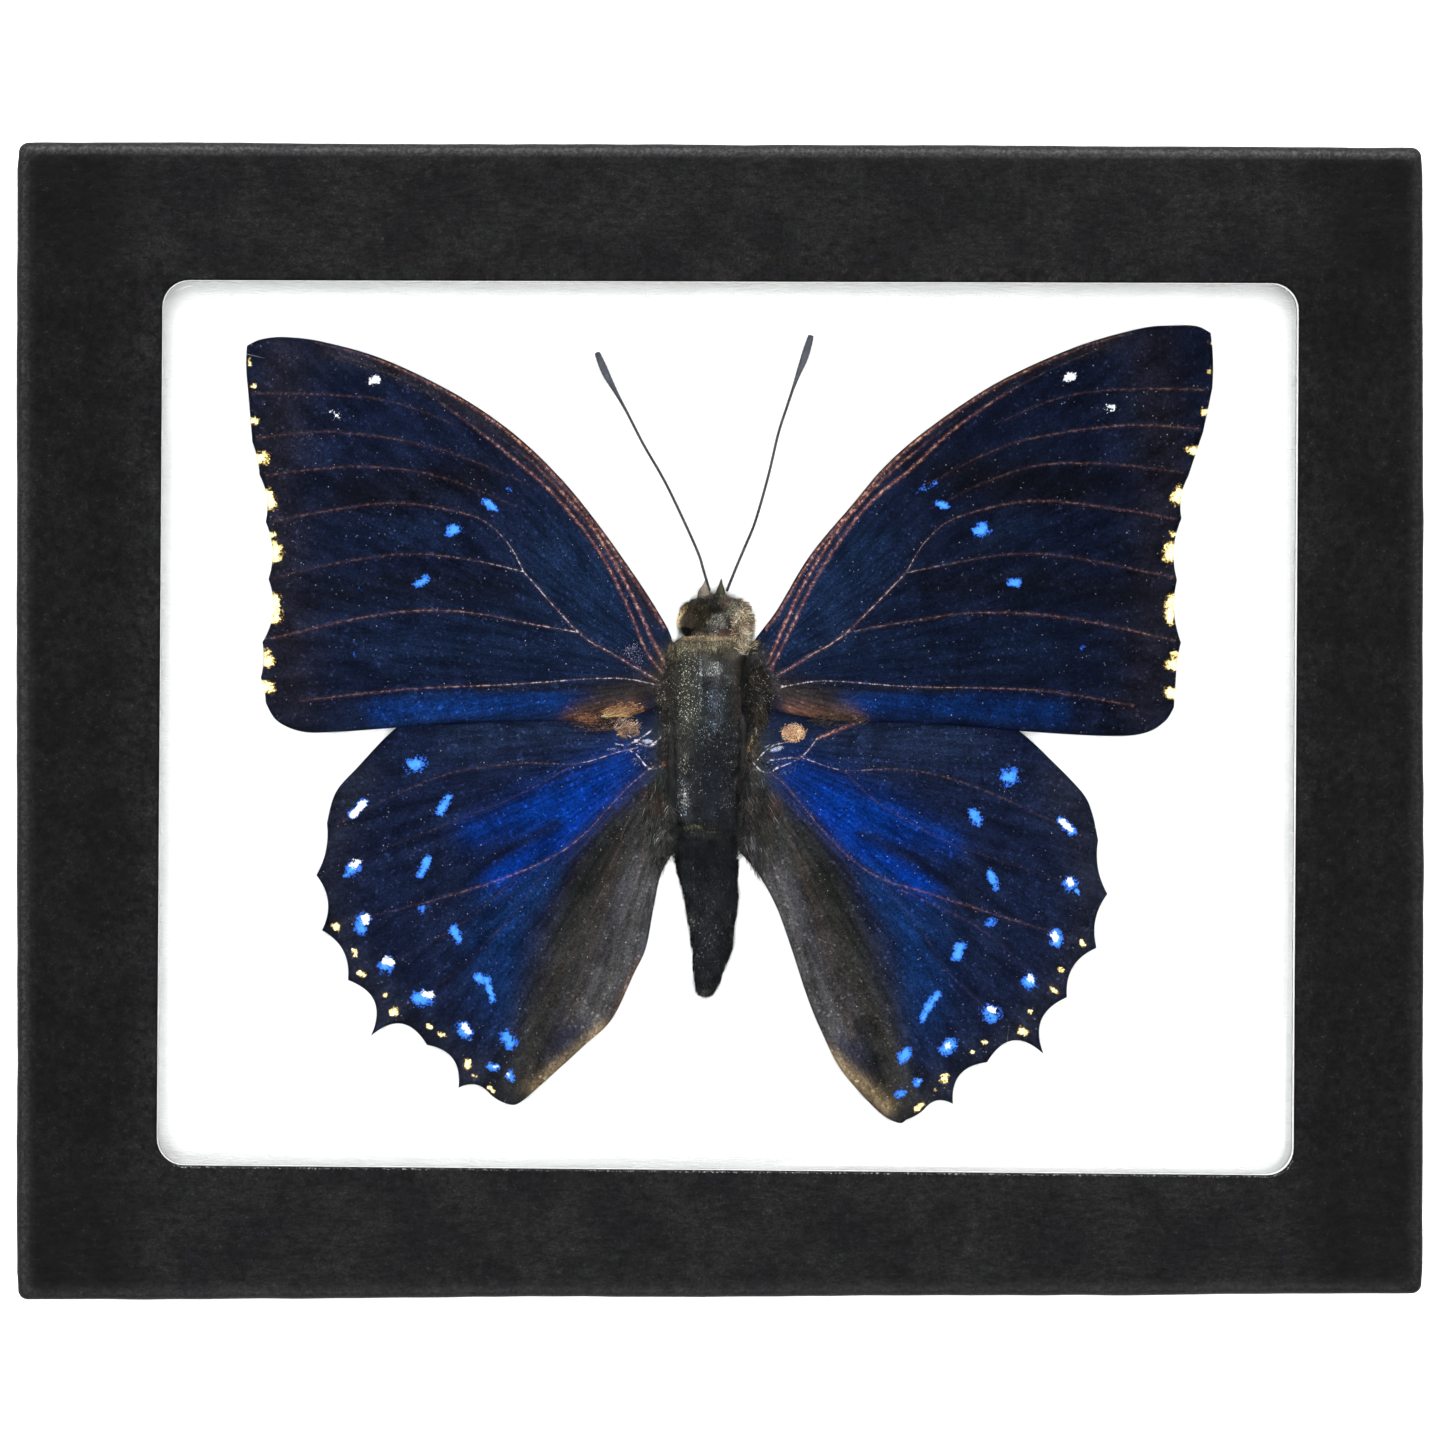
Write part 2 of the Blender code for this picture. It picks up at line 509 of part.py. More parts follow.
def build_abdomen(material):
    """Tapering segments, each a little wider at its hind edge than the next one's front."""
    length = (ABDOMEN_END - ABDOMEN_START) / ABDOMEN_SEGMENTS
    rings = []
    for i in range(ABDOMEN_SEGMENTS):
        front, back = ABDOMEN_SHAPE[i], ABDOMEN_SHAPE[i + 1]
        y = ABDOMEN_START + length * i
        for t, swell in ((0.03, -SEGMENT_STEP), (0.5, 0.0), (0.96, 0.0)):
            centre, width, middle, height = (a + (b - a) * t for a, b in zip(front, back))
            rings.append(body_ring(y + length * t, centre, width + swell, middle, height + swell))
    verts, faces = skin_rings(rings)
    return add_object("abdomen", verts, faces, material, smooth=True)


def join_solid(target, tool):
    """Fuses one closed solid into another."""
    modifier = target.modifiers.new("join", "BOOLEAN")
    modifier.operation = "UNION"
    modifier.solver = "EXACT"
    modifier.object = tool
    graph = bpy.context.evaluated_depsgraph_get()
    mesh = bpy.data.meshes.new_from_object(target.evaluated_get(graph))
    target.modifiers.clear()
    target.data = mesh
    bpy.data.objects.remove(tool, do_unlink=True)


def ellipsoid(centre, radii, material, rows=8, sides=14):
    rings = []
    for i in range(1, rows):
        a = math.pi * i / rows
        ring = []
        for k in range(sides):
            b = 2 * math.pi * k / sides
            ring.append((centre[0] + radii[0] * math.sin(a) * math.cos(b),
                         centre[1] + radii[1] * math.sin(a) * math.sin(b),
                         centre[2] + radii[2] * math.cos(a)))
        rings.append(ring)
    verts, faces = skin_rings(rings)
    return add_object("bulge", verts, faces, material, smooth=True)


def build_head(material):
    verts, faces = skin_rings([body_ring(*row, power=2.2) for row in HEAD])
    head = add_object("head", verts, faces, material, smooth=True)
    for centre in EYES:
        join_solid(head, ellipsoid(centre, EYE_RADII, material))
    for root, tip, radius in PALPS:
        middle = tuple((a + b) / 2 for a, b in zip(root, tip))
        rings = tube((root, middle, tip), (radius, radius * 0.75, radius * 0.15), 8)
        verts, faces = skin_rings(rings)
        join_solid(head, add_object("palp", verts, faces, material, smooth=True))
    return head


def build_antenna(name, course, material):
    path = spline(course, 3) + [course[-1]]
    last = len(path) - 1
    radii = []
    for i in range(len(path)):
        t = i / last
        club = math.exp(-((t - 0.93) / 0.09) ** 2)
        radii.append(STALK_RADIUS + (CLUB_RADIUS - STALK_RADIUS) * club)
    radii[-1] = STALK_RADIUS
    verts, faces = skin_rings(tube(path, radii, 8))
    return add_object(name, verts, faces, material, smooth=True)


def main():
    for obj in list(bpy.data.objects):
        bpy.data.objects.remove(obj, do_unlink=True)
    black_paper = make_material("black_paper", (0.022, 0.021, 0.023), 0.6)
    tray_paper = make_material("tray_paper", (0.02, 0.019, 0.021), 0.65)
    glass = make_material("clear_glass", (0.9, 0.94, 0.92), 0.05)
    batting = make_material("white_batting", (0.88, 0.88, 0.87), 0.95)
    forewing = make_material("forewing_scales", (0.012, 0.025, 0.06), 0.55)
    hindwing = make_material("hindwing_scales", (0.01, 0.045, 0.16), 0.5)
    hair = make_material("body_hair", (0.07, 0.065, 0.05), 0.8)
    abdomen = make_material("abdomen_scales", (0.03, 0.035, 0.05), 0.7)
    head = make_material("head_hair", (0.13, 0.11, 0.07), 0.75)
    horn = make_material("antenna_horn", (0.02, 0.02, 0.03), 0.5)
    build_tray(tray_paper)
    build_lid(black_paper)
    build_glass(glass)
    build_fill(batting)
    build_wings(forewing, hindwing)
    build_thorax(hair)
    build_abdomen(abdomen)
    build_head(head)
    build_antenna("antenna_left", ANTENNA_LEFT, horn)
    build_antenna("antenna_right", ANTENNA_RIGHT, horn)


main()
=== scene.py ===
import math

import bmesh
import bpy
import numpy as np
from mathutils import Matrix, Vector, geometry, noise


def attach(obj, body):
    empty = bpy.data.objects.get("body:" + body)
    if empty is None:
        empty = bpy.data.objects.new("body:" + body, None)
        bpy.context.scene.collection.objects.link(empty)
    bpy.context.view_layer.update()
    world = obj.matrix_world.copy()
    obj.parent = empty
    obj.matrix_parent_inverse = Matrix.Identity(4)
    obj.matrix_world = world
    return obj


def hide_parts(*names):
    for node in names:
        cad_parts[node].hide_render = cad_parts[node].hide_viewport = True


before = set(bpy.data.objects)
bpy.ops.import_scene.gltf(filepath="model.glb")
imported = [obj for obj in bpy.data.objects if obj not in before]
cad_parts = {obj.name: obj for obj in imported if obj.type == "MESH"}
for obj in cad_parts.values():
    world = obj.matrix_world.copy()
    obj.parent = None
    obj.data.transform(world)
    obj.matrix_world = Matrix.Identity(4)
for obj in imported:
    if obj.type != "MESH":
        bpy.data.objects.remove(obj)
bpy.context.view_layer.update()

# Framed butterfly specimen. Lengths are millimetres until a mesh is made; colours are linear.
MM = 0.001
BODY = "root"
rng = np.random.default_rng(11)

# Camera, light and floor

CAMERA_YAW, CAMERA_PITCH = 2.131, 0.161
CAMERA_TARGET = (-0.327, 0.067, 19.0)
CAMERA_DISTANCE = 500.0
CAMERA_LENS, SENSOR = 138.83, 36.0
FLOOR_SIZE, FLOOR_LEVEL = 8000.0, -0.2
SURROUND = 4.0
# brightness of the surround from straight below to straight above
SURROUND_STOPS = ((0.0, 0.92), (0.25, 0.8), (0.5, 0.72), (0.75, 1.0), (0.88, 3.6), (0.94, 3.6),
                  (0.972, 0.006))
# panels: place and size in metres, power in watts
LIGHTS = (("key", (-0.15, 0.42, 1.16), (1.3, 0.6), 17.5), ("front", (0.12, -0.42, 1.16), (1.3, 0.6), 9.5))


def make_camera():
    yaw, pitch = math.radians(CAMERA_YAW), math.radians(CAMERA_PITCH)
    back = Vector((-math.sin(yaw) * math.cos(pitch), math.sin(pitch), math.cos(yaw) * math.cos(pitch)))
    right = Vector((0, 1, 0)).cross(back).normalized()
    up = back.cross(right)
    data = bpy.data.cameras.new("camera")
    data.lens, data.sensor_width = CAMERA_LENS, SENSOR
    data.clip_start, data.clip_end = 0.01, 20.0
    cam = bpy.data.objects.new("camera", data)
    bpy.context.scene.collection.objects.link(cam)
    place = (Vector(CAMERA_TARGET) + back * CAMERA_DISTANCE) * MM
    cam.matrix_world = Matrix.Translation(place) @ Matrix((right, up, back)).transposed().to_4x4()
    bpy.context.scene.camera = cam


def make_light(name, place, size, power):
    """A large soft panel that faces the box and isn't mirrored in its pane."""
    data = bpy.data.lights.new(name, "AREA")
    data.shape = "RECTANGLE"
    data.size, data.size_y = size
    data.energy = power
    light = bpy.data.objects.new(name, data)
    bpy.context.scene.collection.objects.link(light)
    light.location = place
    light.rotation_mode = "QUATERNION"
    light.rotation_quaternion = (-Vector(place)).to_track_quat("-Z", "Y")
    light.visible_glossy = False


def make_world():
    """A pale surround that is dark overhead, as in a light tent with a hole for the lens."""
    world = bpy.data.worlds.new("surround")
    world.use_nodes = True
    tree = world.node_tree
    where = tree.nodes.new("ShaderNodeTexCoord")
    split = tree.nodes.new("ShaderNodeSeparateXYZ")
    ramp = tree.nodes.new("ShaderNodeValToRGB")
    tree.links.new(where.outputs["Generated"], split.inputs[0])
    tree.links.new(split.outputs["Z"], ramp.inputs[0])
    tree.links.new(ramp.outputs[0], tree.nodes["Background"].inputs["Color"])
    for i, (place, level) in enumerate(SURROUND_STOPS):
        stop = ramp.color_ramp.elements[i] if i < 2 else ramp.color_ramp.elements.new(place)
        stop.position = place
        stop.color = (*[level / SURROUND] * 3, 1)
    tree.nodes["Background"].inputs["Strength"].default_value = SURROUND
    bpy.context.scene.world = world
    bpy.context.scene.view_settings.view_transform = "Standard"


# Materials

class Paint:
    """A material's nodes, with short calls for the ones that most surfaces share. Coordinates are in mm."""

    def __init__(self, name, **fixed):
        self.mat = bpy.data.materials.new(name)
        self.mat.use_nodes = True
        self.tree = self.mat.node_tree
        self.skin = self.tree.nodes["Principled BSDF"]
        self.set(self.skin, {key.replace("_", " "): value for key, value in fixed.items()})
        place = self.tree.nodes.new("ShaderNodeTexCoord").outputs["Object"]
        self.mm = self.add("VectorMath", {0: place, "Scale": 1 / MM}, operation="SCALE")

    def set(self, node, values):
        for key, value in values.items():
            if isinstance(value, bpy.types.NodeSocket):
                self.tree.links.new(value, node.inputs[key])
            else:
                node.inputs[key].default_value = value

    def add(self, kind, values, out=0, **options):
        node = self.tree.nodes.new("ShaderNode" + kind)
        for key, value in options.items():
            setattr(node, key, value)
        self.set(node, values)
        return node.outputs[out]

    def math(self, operation, a, b=0.0, clamp=False):
        return self.add("Math", {0: a, 1: b}, operation=operation, use_clamp=clamp)

    def times(self, a, b, clamp=False):
        return self.math("MULTIPLY", a, b, clamp)

    def plus(self, a, b):
        return self.math("ADD", a, b)

    def mix(self, share, a, b, blend="MIX"):
        a, b = ((*c, 1.0) if isinstance(c, tuple) else c for c in (a, b))
        return self.add("Mix", {0: share, 6: a, 7: b}, out=2, data_type="RGBA", blend_type=blend)

    def stretch(self, vector, scale):
        return self.add("VectorMath", {0: vector, 1: scale}, operation="MULTIPLY")

    def noise(self, scale, detail=2.0, where=None, roughness=0.55):
        values = {"Vector": where or self.mm, "Scale": scale, "Detail": detail, "Roughness": roughness}
        return self.add("TexNoise", values)

    def cells(self, scale, where=None, out="Color", feature="F1"):
        return self.add("TexVoronoi", {"Vector": where or self.mm, "Scale": scale}, out=out, feature=feature)

    def step(self, value, low, high, to_low=0.0, to_high=1.0):
        values = {0: value, 1: low, 2: high, 3: to_low, 4: to_high}
        return self.add("MapRange", values, interpolation_type="SMOOTHSTEP")

    def field(self, name, out=1):
        return self.add("Attribute", {}, out=out, attribute_name=name)

    def split(self, vector):
        node = self.tree.nodes.new("ShaderNodeSeparateXYZ")
        self.set(node, {0: vector})
        return node.outputs[0], node.outputs[1], node.outputs[2]

    def dim(self, colour, amount):
        """A colour times a number."""
        return self.add("VectorMath", {0: colour, "Scale": amount}, operation="SCALE")

    def finish(self, colour, roughness=None, height=None, distance=0.0, strength=1.0):
        self.set(self.skin, {"Base Color": colour})
        if roughness is not None:
            self.set(self.skin, {"Roughness": roughness})
        if height is not None:
            values = {"Height": height, "Distance": distance * MM, "Strength": strength}
            self.set(self.skin, {"Normal": self.add("Bump", values)})
        return self.mat


def paper_paint(name, dark, light):
    """Black paper over white board: pebbled, with painted highlights on its crinkles, folds paler with
    rubbing and painted highlight, and a bare cut edge.
    """
    p = Paint(name)
    across = p.step(p.math("ABSOLUTE", p.split(p.mm)[1]), 38.0, 43.0)
    mottle = p.noise(0.16, 4.0)
    pebble = p.noise(1.5, 5.0, roughness=0.75)
    streaks = p.noise(1.0, 5.0, p.stretch(p.mm, (0.9, 2.8, 2.5)), 0.75)
    grain = p.add("Mix", {0: p.times(across, 0.55), 2: pebble, 3: streaks})
    fine = p.noise(5.5, 3.0, roughness=0.7)
    hue = p.noise(0.9, 3.0)
    colour = p.mix(p.step(mottle, 0.35, 0.65), dark, light)
    colour = p.mix(p.step(hue, 0.56, 0.75, 0.0, 0.5), colour, (0.0052, 0.003, 0.0058))
    colour = p.mix(p.step(hue, 0.44, 0.26, 0.0, 0.5), colour, (0.0028, 0.0048, 0.003))
    # painted shade: the left and right borders are painted darker than the top and bottom, which face the
    # lights
    sides = p.step(p.math("ABSOLUTE", p.split(p.mm)[0]), 50.0, 56.0, 1.0, 0.42)
    colour = p.dim(colour, p.times(sides, p.step(grain, 0.3, 0.7, 0.25, 2.1)))
    colour = p.dim(colour, p.step(fine, 0.3, 0.75, 0.4, 1.9))
    # painted highlights: pale flecks where the tops of the crinkles would catch the light
    lit = p.times(p.step(fine, 0.6, 0.76), p.step(grain, 0.48, 0.66))
    colour = p.mix(p.times(lit, 0.5), colour, (0.075, 0.075, 0.08))
    # the folds carry rubbing and painted highlight together: paler where the light would catch them
    wear = p.field("wear", 2)
    rubbed_and_lit = p.times(wear, p.step(p.noise(3.4, 5.0, roughness=0.75), 0.4, 0.68, 0.22, 0.85))
    colour = p.mix(rubbed_and_lit, colour, (0.075, 0.073, 0.076))
    # bare white board on the cut edge; on the window's lower rounding the same pale speckles are partly dust
    # and partly painted highlight
    core = p.plus(p.field("core", 2), p.noise(5.0, 3.0, roughness=0.8))
    bare = p.step(core, 0.8, 1.3)
    colour = p.mix(bare, colour, (0.92, 0.912, 0.905))
    p.set(p.skin, {"Specular IOR Level": p.plus(0.075, p.times(rubbed_and_lit, 0.12))})
    height = p.plus(grain, p.times(fine, 0.6))
    return p.finish(colour, p.step(fine, 0.3, 0.7, 0.42, 0.7), height, 0.07, 0.9)


def glass_paint():
    p = Paint("clear_glass", Transmission_Weight=1.0, IOR=1.5, Roughness=0.0)
    tint = p.mix(p.noise(0.05, 1.0), (0.985, 0.996, 0.99), (0.992, 0.998, 0.995))
    return p.finish(tint)


def batting_paint():
    p = Paint("white_batting", Specular_IOR_Level=0.1, Roughness=0.95, Sheen_Weight=0.15)
    fluff = p.noise(1.1, 5.0, roughness=0.65)
    thread = p.noise(2.0, 3.0, p.stretch(p.mm, (0.6, 3.0, 3.0)))
    colour = p.mix(fluff, (0.9, 0.903, 0.907), (0.95, 0.95, 0.947))
    return p.finish(colour, None, p.plus(fluff, thread), 0.25, 0.6)


def wing_paint(name):
    """Scales: the ground colour broken along the wing's rays, ragged spots, dashed veins and pale dust."""
    p = Paint(name, Specular_IOR_Level=0.015)
    ray = p.field("ray")
    streak = p.noise(1.0, 3.0, p.stretch(ray, (2.2, 0.16, 1.0)), 0.6)
    fine = p.noise(1.0, 2.0, p.stretch(ray, (9.0, 2.2, 1.0)), 0.6)
    grain = p.noise(5.0, 2.0, roughness=0.7)
    patch = p.noise(0.45, 3.0)
    jagged, broad = p.times(p.noise(4.6, 3.0, roughness=0.85), 0.7), p.times(p.noise(1.7, 2.0), 0.5)
    rag = p.math("SUBTRACT", p.plus(jagged, broad), 0.6)
    blue, core, cream = p.split(p.field("spot"))
    pale, red, dust = p.split(p.field("vein"))
    colour = p.dim(p.field("ground"), p.step(streak, 0.28, 0.72, 0.6, 1.4))
    colour = p.dim(colour, p.step(patch, 0.3, 0.7, 0.72, 1.28))
    colour = p.dim(colour, p.step(fine, 0.25, 0.75, 0.75, 1.28))
    colour = p.dim(colour, p.step(grain, 0.3, 0.72, 0.62, 1.45))
    glint = p.split(p.cells(4.5))[0]
    colour = p.dim(colour, p.step(glint, 0.93, 0.99, 1.0, 2.4))
    dash = p.noise(2.6, 3.0, roughness=0.75)
    red_share = p.times(red, p.step(dash, 0.4, 0.56, 0.45, 1.1), True)
    colour = p.mix(red_share, colour, p.mix(p.step(dash, 0.5, 0.68), (0.2, 0.07, 0.055), (0.92, 0.52, 0.4)))
    pale_share = p.times(pale, p.step(dash, 0.48, 0.6, 0.08, 1.2), True)
    colour = p.mix(pale_share, colour, p.mix(p.step(pale, 0.35, 0.8), (0.17, 0.12, 0.095), (0.56, 0.5, 0.54)))
    edge = p.plus(blue, p.times(rag, 4.2))
    bright = p.plus(blue, p.times(rag, 2.6))
    tint = p.mix(p.step(bright, 0.1, 0.8), (0.025, 0.12, 0.6), (0.07, 0.31, 0.72))
    colour = p.mix(p.step(edge, 0.0, 0.14), colour, tint)
    middle = p.plus(core, p.times(rag, 3.4))
    colour = p.mix(p.step(middle, 0.0, 0.2), colour, (0.72, 0.75, 0.8))
    border = p.plus(cream, p.times(rag, 4.0))
    colour = p.mix(p.step(border, -0.4, 0.0, 0.0, 0.6), colour, (0.07, 0.032, 0.015))
    colour = p.mix(p.step(border, -0.06, 0.08), colour, (0.42, 0.24, 0.05))
    colour = p.mix(p.step(border, 0.06, 0.26), colour, (0.9, 0.8, 0.3))
    colour = p.mix(p.step(border, 0.3, 0.6), colour, (0.92, 0.9, 0.62))
    colour = p.mix(dust, colour, (0.75, 0.72, 0.74))
    return p.finish(colour, p.step(grain, 0.2, 0.8, 0.55, 0.8), p.plus(grain, fine), 0.03, 0.5)


def hair_paint(name):
    p = Paint(name, Specular_IOR_Level=0.12)
    grain = p.noise(7.0, 2.0)
    colour = p.dim(p.field("ground"), p.step(grain, 0.2, 0.8, 0.7, 1.4))
    return p.finish(colour, p.step(grain, 0.3, 0.7, 0.5, 0.7), grain, 0.02, 0.5)


def eye_paint():
    """Dark brown dome with fine facets, an olive rim and, between them, a golden arc of painted highlight."""
    p = Paint("eye_horn", Specular_IOR_Level=0.35, Coat_Weight=0.1, Coat_Roughness=0.15)
    facet = p.cells(9.0, out="Distance")
    stripe = p.noise(1.0, 2.0, p.stretch(p.mm, (3.5, 0.6, 1.0)))
    rim, highlight_arc, _ = p.split(p.field("spot"))
    brown = p.mix(p.step(stripe, 0.35, 0.65), (0.006, 0.0045, 0.003), (0.065, 0.042, 0.022))
    colour = p.mix(rim, brown, p.mix(p.step(stripe, 0.3, 0.7), (0.018, 0.02, 0.012), (0.05, 0.048, 0.034)))
    colour = p.mix(highlight_arc, colour, (0.92, 0.68, 0.32))
    return p.finish(colour, p.step(stripe, 0.3, 0.7, 0.3, 0.45), facet, 0.03, 0.35)


def horn_paint():
    p = Paint("antenna_horn", Specular_IOR_Level=0.4)
    grain = p.noise(6.0, 2.0)
    club = p.field("wear", 2)
    colour = p.mix(grain, (0.006, 0.006, 0.01), (0.02, 0.021, 0.03))
    colour = p.mix(p.times(club, grain), colour, (0.075, 0.08, 0.11))
    return p.finish(colour, p.step(grain, 0.3, 0.7, 0.38, 0.55), grain, 0.02, 0.4)


# Geometry helpers

def smooth(t):
    t = np.clip(t, 0.0, 1.0)
    return t * t * (3 - 2 * t)


def bell(distance, width):
    return np.exp(-(distance / width) ** 2)


def unit(vectors):
    return vectors / np.linalg.norm(vectors, axis=1)[:, None]


def full_turn(count):
    """Evenly spaced angles."""
    return 2 * math.pi * np.arange(count) / count


def spline(points, spacing):
    """A smooth curve through the points, with its own points about evenly spaced."""
    p = np.array(points, float)
    out = []
    for i in range(len(p) - 1):
        p0, p1, p2, p3 = p[max(i - 1, 0)], p[i], p[i + 1], p[min(i + 2, len(p) - 1)]
        count = max(1, math.ceil(np.linalg.norm(p2 - p1) / spacing))
        t = np.arange(count)[:, None] / count
        bend = (2 * p0 - 5 * p1 + 4 * p2 - p3) * t ** 2 + (3 * p1 - p0 - 3 * p2 + p3) * t ** 3
        out.append(0.5 * (2 * p1 + (p2 - p0) * t + bend))
    return np.vstack(out + [p[-1:]])


def scallops(teeth, spacing):
    """Arcs from tooth to tooth. A tooth is (x, y, depth of the hollow that follows it)."""
    out = []
    for (x0, y0, depth), (x1, y1, _) in zip(teeth, teeth[1:]):
        chord = math.hypot(x1 - x0, y1 - y0)
        t = np.arange(math.ceil(chord / spacing)) / math.ceil(chord / spacing)
        sag = depth * 4 * t * (1 - t)
        out.append(np.stack((x0 + (x1 - x0) * t - (y1 - y0) / chord * sag,
                             y0 + (y1 - y0) * t + (x1 - x0) / chord * sag), 1))
    return np.vstack(out)


def nearest(points, line):
    """Distance of each point from a line of points, and how far along the line that is, 0 to 1."""
    line = np.array(line, float)
    spans = np.diff(line, axis=0)
    lengths = np.maximum(np.linalg.norm(spans, axis=1), 1e-9)
    starts = np.concatenate(([0.0], np.cumsum(lengths)))
    best, along = np.full(len(points), 1e9), np.zeros(len(points))
    for a, span, length, start in zip(line, spans, lengths, starts):
        t = np.clip((points - a) @ span / length ** 2, 0, 1)
        d = np.linalg.norm(points - a - t[:, None] * span, axis=1)
        closer = d < best
        best[closer], along[closer] = d[closer], (start + t[closer] * length) / starts[-1]
    return best, along


def from_ring(points, ring):
    """Distance of each point from a closed outline."""
    return nearest(points, np.vstack((ring, ring[:1])))[0]


def brushed(colour, points, strokes):
    """A colour for each point: the ground with soft strokes laid on one after another."""
    out = np.tile(np.array(colour), (len(points), 1))
    for tone, strength, course, width in strokes:
        share = (strength * bell(nearest(points, course)[0], width))[:, None]
        out = out * (1 - share) + np.array(tone) * share
    return out


def inside(points, ring):
    hit = np.zeros(len(points), bool)
    x, y = points[:, 0], points[:, 1]
    for (x0, y0), (x1, y1) in zip(ring, np.roll(ring, -1, 0)):
        if y0 != y1:
            hit ^= ((y0 > y) != (y1 > y)) & (x < (x1 - x0) * (y - y0) / (y1 - y0) + x0)
    return hit


def lumpy(points, size, seed=0.0):
    """Smooth noise between -1 and 1, with features of about this size."""
    shift = Vector((seed, seed * 0.7, seed * 1.3))
    return np.array([noise.noise(Vector((p[0], p[1], p[2] if len(p) > 2 else 0.0)) / size + shift)
                     for p in points])


def solid(name, points, faces, mat, smooth_faces=True, **fields):
    """One mesh from points in mm, faces out, with per-point fields for its material."""
    mesh = bpy.data.meshes.new(name)
    faces = faces.tolist() if isinstance(faces, np.ndarray) else faces
    mesh.from_pydata((np.asarray(points, float) * MM).tolist(), [], faces)
    bm = bmesh.new()
    bm.from_mesh(mesh)
    bmesh.ops.recalc_face_normals(bm, faces=bm.faces)
    bm.to_mesh(mesh)
    bm.free()
    mesh.polygons.foreach_set("use_smooth", [smooth_faces] * len(mesh.polygons))
    for key, values in fields.items():
        values = np.asarray(values, np.float32)
        single = values.ndim == 1
        layer = mesh.attributes.new(key, "FLOAT" if single else "FLOAT_VECTOR", "POINT")
        layer.data.foreach_set("value" if single else "vector", values.ravel())
    mesh.materials.append(mat)
    obj = bpy.data.objects.new(name, mesh)
    bpy.context.scene.collection.objects.link(obj)
    return obj


def dress(piece, slot, *nodes):
    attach(piece, BODY)
    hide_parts(*nodes)


def quads(rows, columns, wrap_rows=False, wrap_columns=True, start=0):
    """Faces of a grid of points in rows."""
    out = []
    for i in range(rows if wrap_rows else rows - 1):
        a, b = start + i * columns, start + (i + 1) % rows * columns
        for k in range(columns if wrap_columns else columns - 1):
            n = (k + 1) % columns
            out.append((a + k, a + n, b + n, b + k))
    return out


def tube(rows, sides):
    """Faces of a row of rings, closed at both ends."""
    return quads(rows, sides) + [tuple(range(sides)), tuple(range((rows - 1) * sides, rows * sides))]


def strands(roots, ways, lengths, radius, curl, steps=2):
    """Tapered closed three-sided hairs: all their points, all their triangles, and points in each."""
    ways = unit(ways)
    upright = np.abs(ways[:, 2:3]) > 0.9
    side = unit(np.cross(ways, np.where(upright, (1.0, 0.0, 0.0), (0.0, 0.0, 1.0))))
    over = np.cross(ways, side)
    lengths = np.broadcast_to(lengths, len(roots))[:, None]
    layers = []
    for k in range(steps):
        t = k / steps
        centre = roots + ways * lengths * t + curl * lengths * t * t
        for s in range(3):
            a = 2 * math.pi * s / 3
            layers.append(centre + (side * math.cos(a) + over * math.sin(a)) * radius * (1 - 0.7 * t))
    layers.append(roots + ways * lengths + curl * lengths)
    count = len(layers)
    shape = [(0, 2, 1)]
    for k in range(steps - 1):
        for s in range(3):
            a, b = 3 * k + s, 3 * k + (s + 1) % 3
            shape += [(a, b, b + 3), (a, b + 3, a + 3)]
    shape += [(count - 4 + s, count - 4 + (s + 1) % 3, count - 1) for s in range(3)]
    faces = np.array(shape)[None] + (np.arange(len(roots)) * count)[:, None, None]
    return np.stack(layers, 1).reshape(-1, 3), faces.reshape(-1, 3), count


def flakes(places, sizes):
    """Loose scales: flat closed three-sided chips."""
    turn = rng.uniform(0, 2 * math.pi, len(places))
    corners = []
    for s in range(3):
        a = turn + 2 * math.pi * s / 3 + rng.uniform(-0.5, 0.5, len(places))
        corners.append(places + np.stack((np.cos(a), np.sin(a), a * 0), 1) * sizes[:, None])
    corners.append(places + np.stack((a * 0, a * 0, sizes * 0.4), 1))
    faces = np.array(((0, 2, 1), (0, 1, 3), (1, 2, 3), (2, 0, 3)))[None]
    faces = faces + (np.arange(len(places)) * 4)[:, None, None]
    return np.stack(corners, 1).reshape(-1, 3), faces.reshape(-1, 3)


# Box

BOX_WIDTH, BOX_HEIGHT, BOX_DEPTH = 127.0, 104.0, 19.0
GAP = 0.3
LID_BOARD, LID_SKIRT = 1.6, 1.3
FOLD_RADIUS, CORNER_RADIUS = 0.8, 0.9
TABLE_GAP = 1.0
WINDOW = ((52.05, 39.54), (-50.36, 39.54), (-50.91, -39.86), (51.58, -41.11))
WINDOW_RADIUS, WINDOW_EDGE = 2.4, 0.3
SIDE_POINTS, CORNER_POINTS = 130, 8
FLAP_EDGE, FLAP_STEP = 50.4, 0.1


def loop(corners, radius):
    """A closed outline with rounded corners and evenly divided sides, counter-clockwise."""
    arcs = []
    for i, corner in enumerate(corners):
        p = Vector(corner)
        before = (Vector(corners[i - 1]) - p).normalized()
        after = (Vector(corners[(i + 1) % 4]) - p).normalized()
        half = before.angle(after) / 2
        centre = p + (before + after).normalized() * radius / math.sin(half)
        start = p + before * radius / math.tan(half) - centre
        turn = (math.pi - 2 * half) * np.arange(CORNER_POINTS + 1) / CORNER_POINTS
        arcs.append(np.stack((centre.x + start.x * np.cos(turn) - start.y * np.sin(turn),
                              centre.y + start.x * np.sin(turn) + start.y * np.cos(turn)), 1))
    out = []
    for arc, following in zip(arcs, arcs[1:] + arcs[:1]):
        t = np.arange(1, SIDE_POINTS)[:, None] / SIDE_POINTS
        out += [arc, arc[-1] + (following[0] - arc[-1]) * t]
    return np.vstack(out)


def rectangle(inset, radius):
    x, y = BOX_WIDTH / 2 - inset, BOX_HEIGHT / 2 - inset
    return loop(((x, y), (-x, y), (-x, -y), (x, -y)), radius)


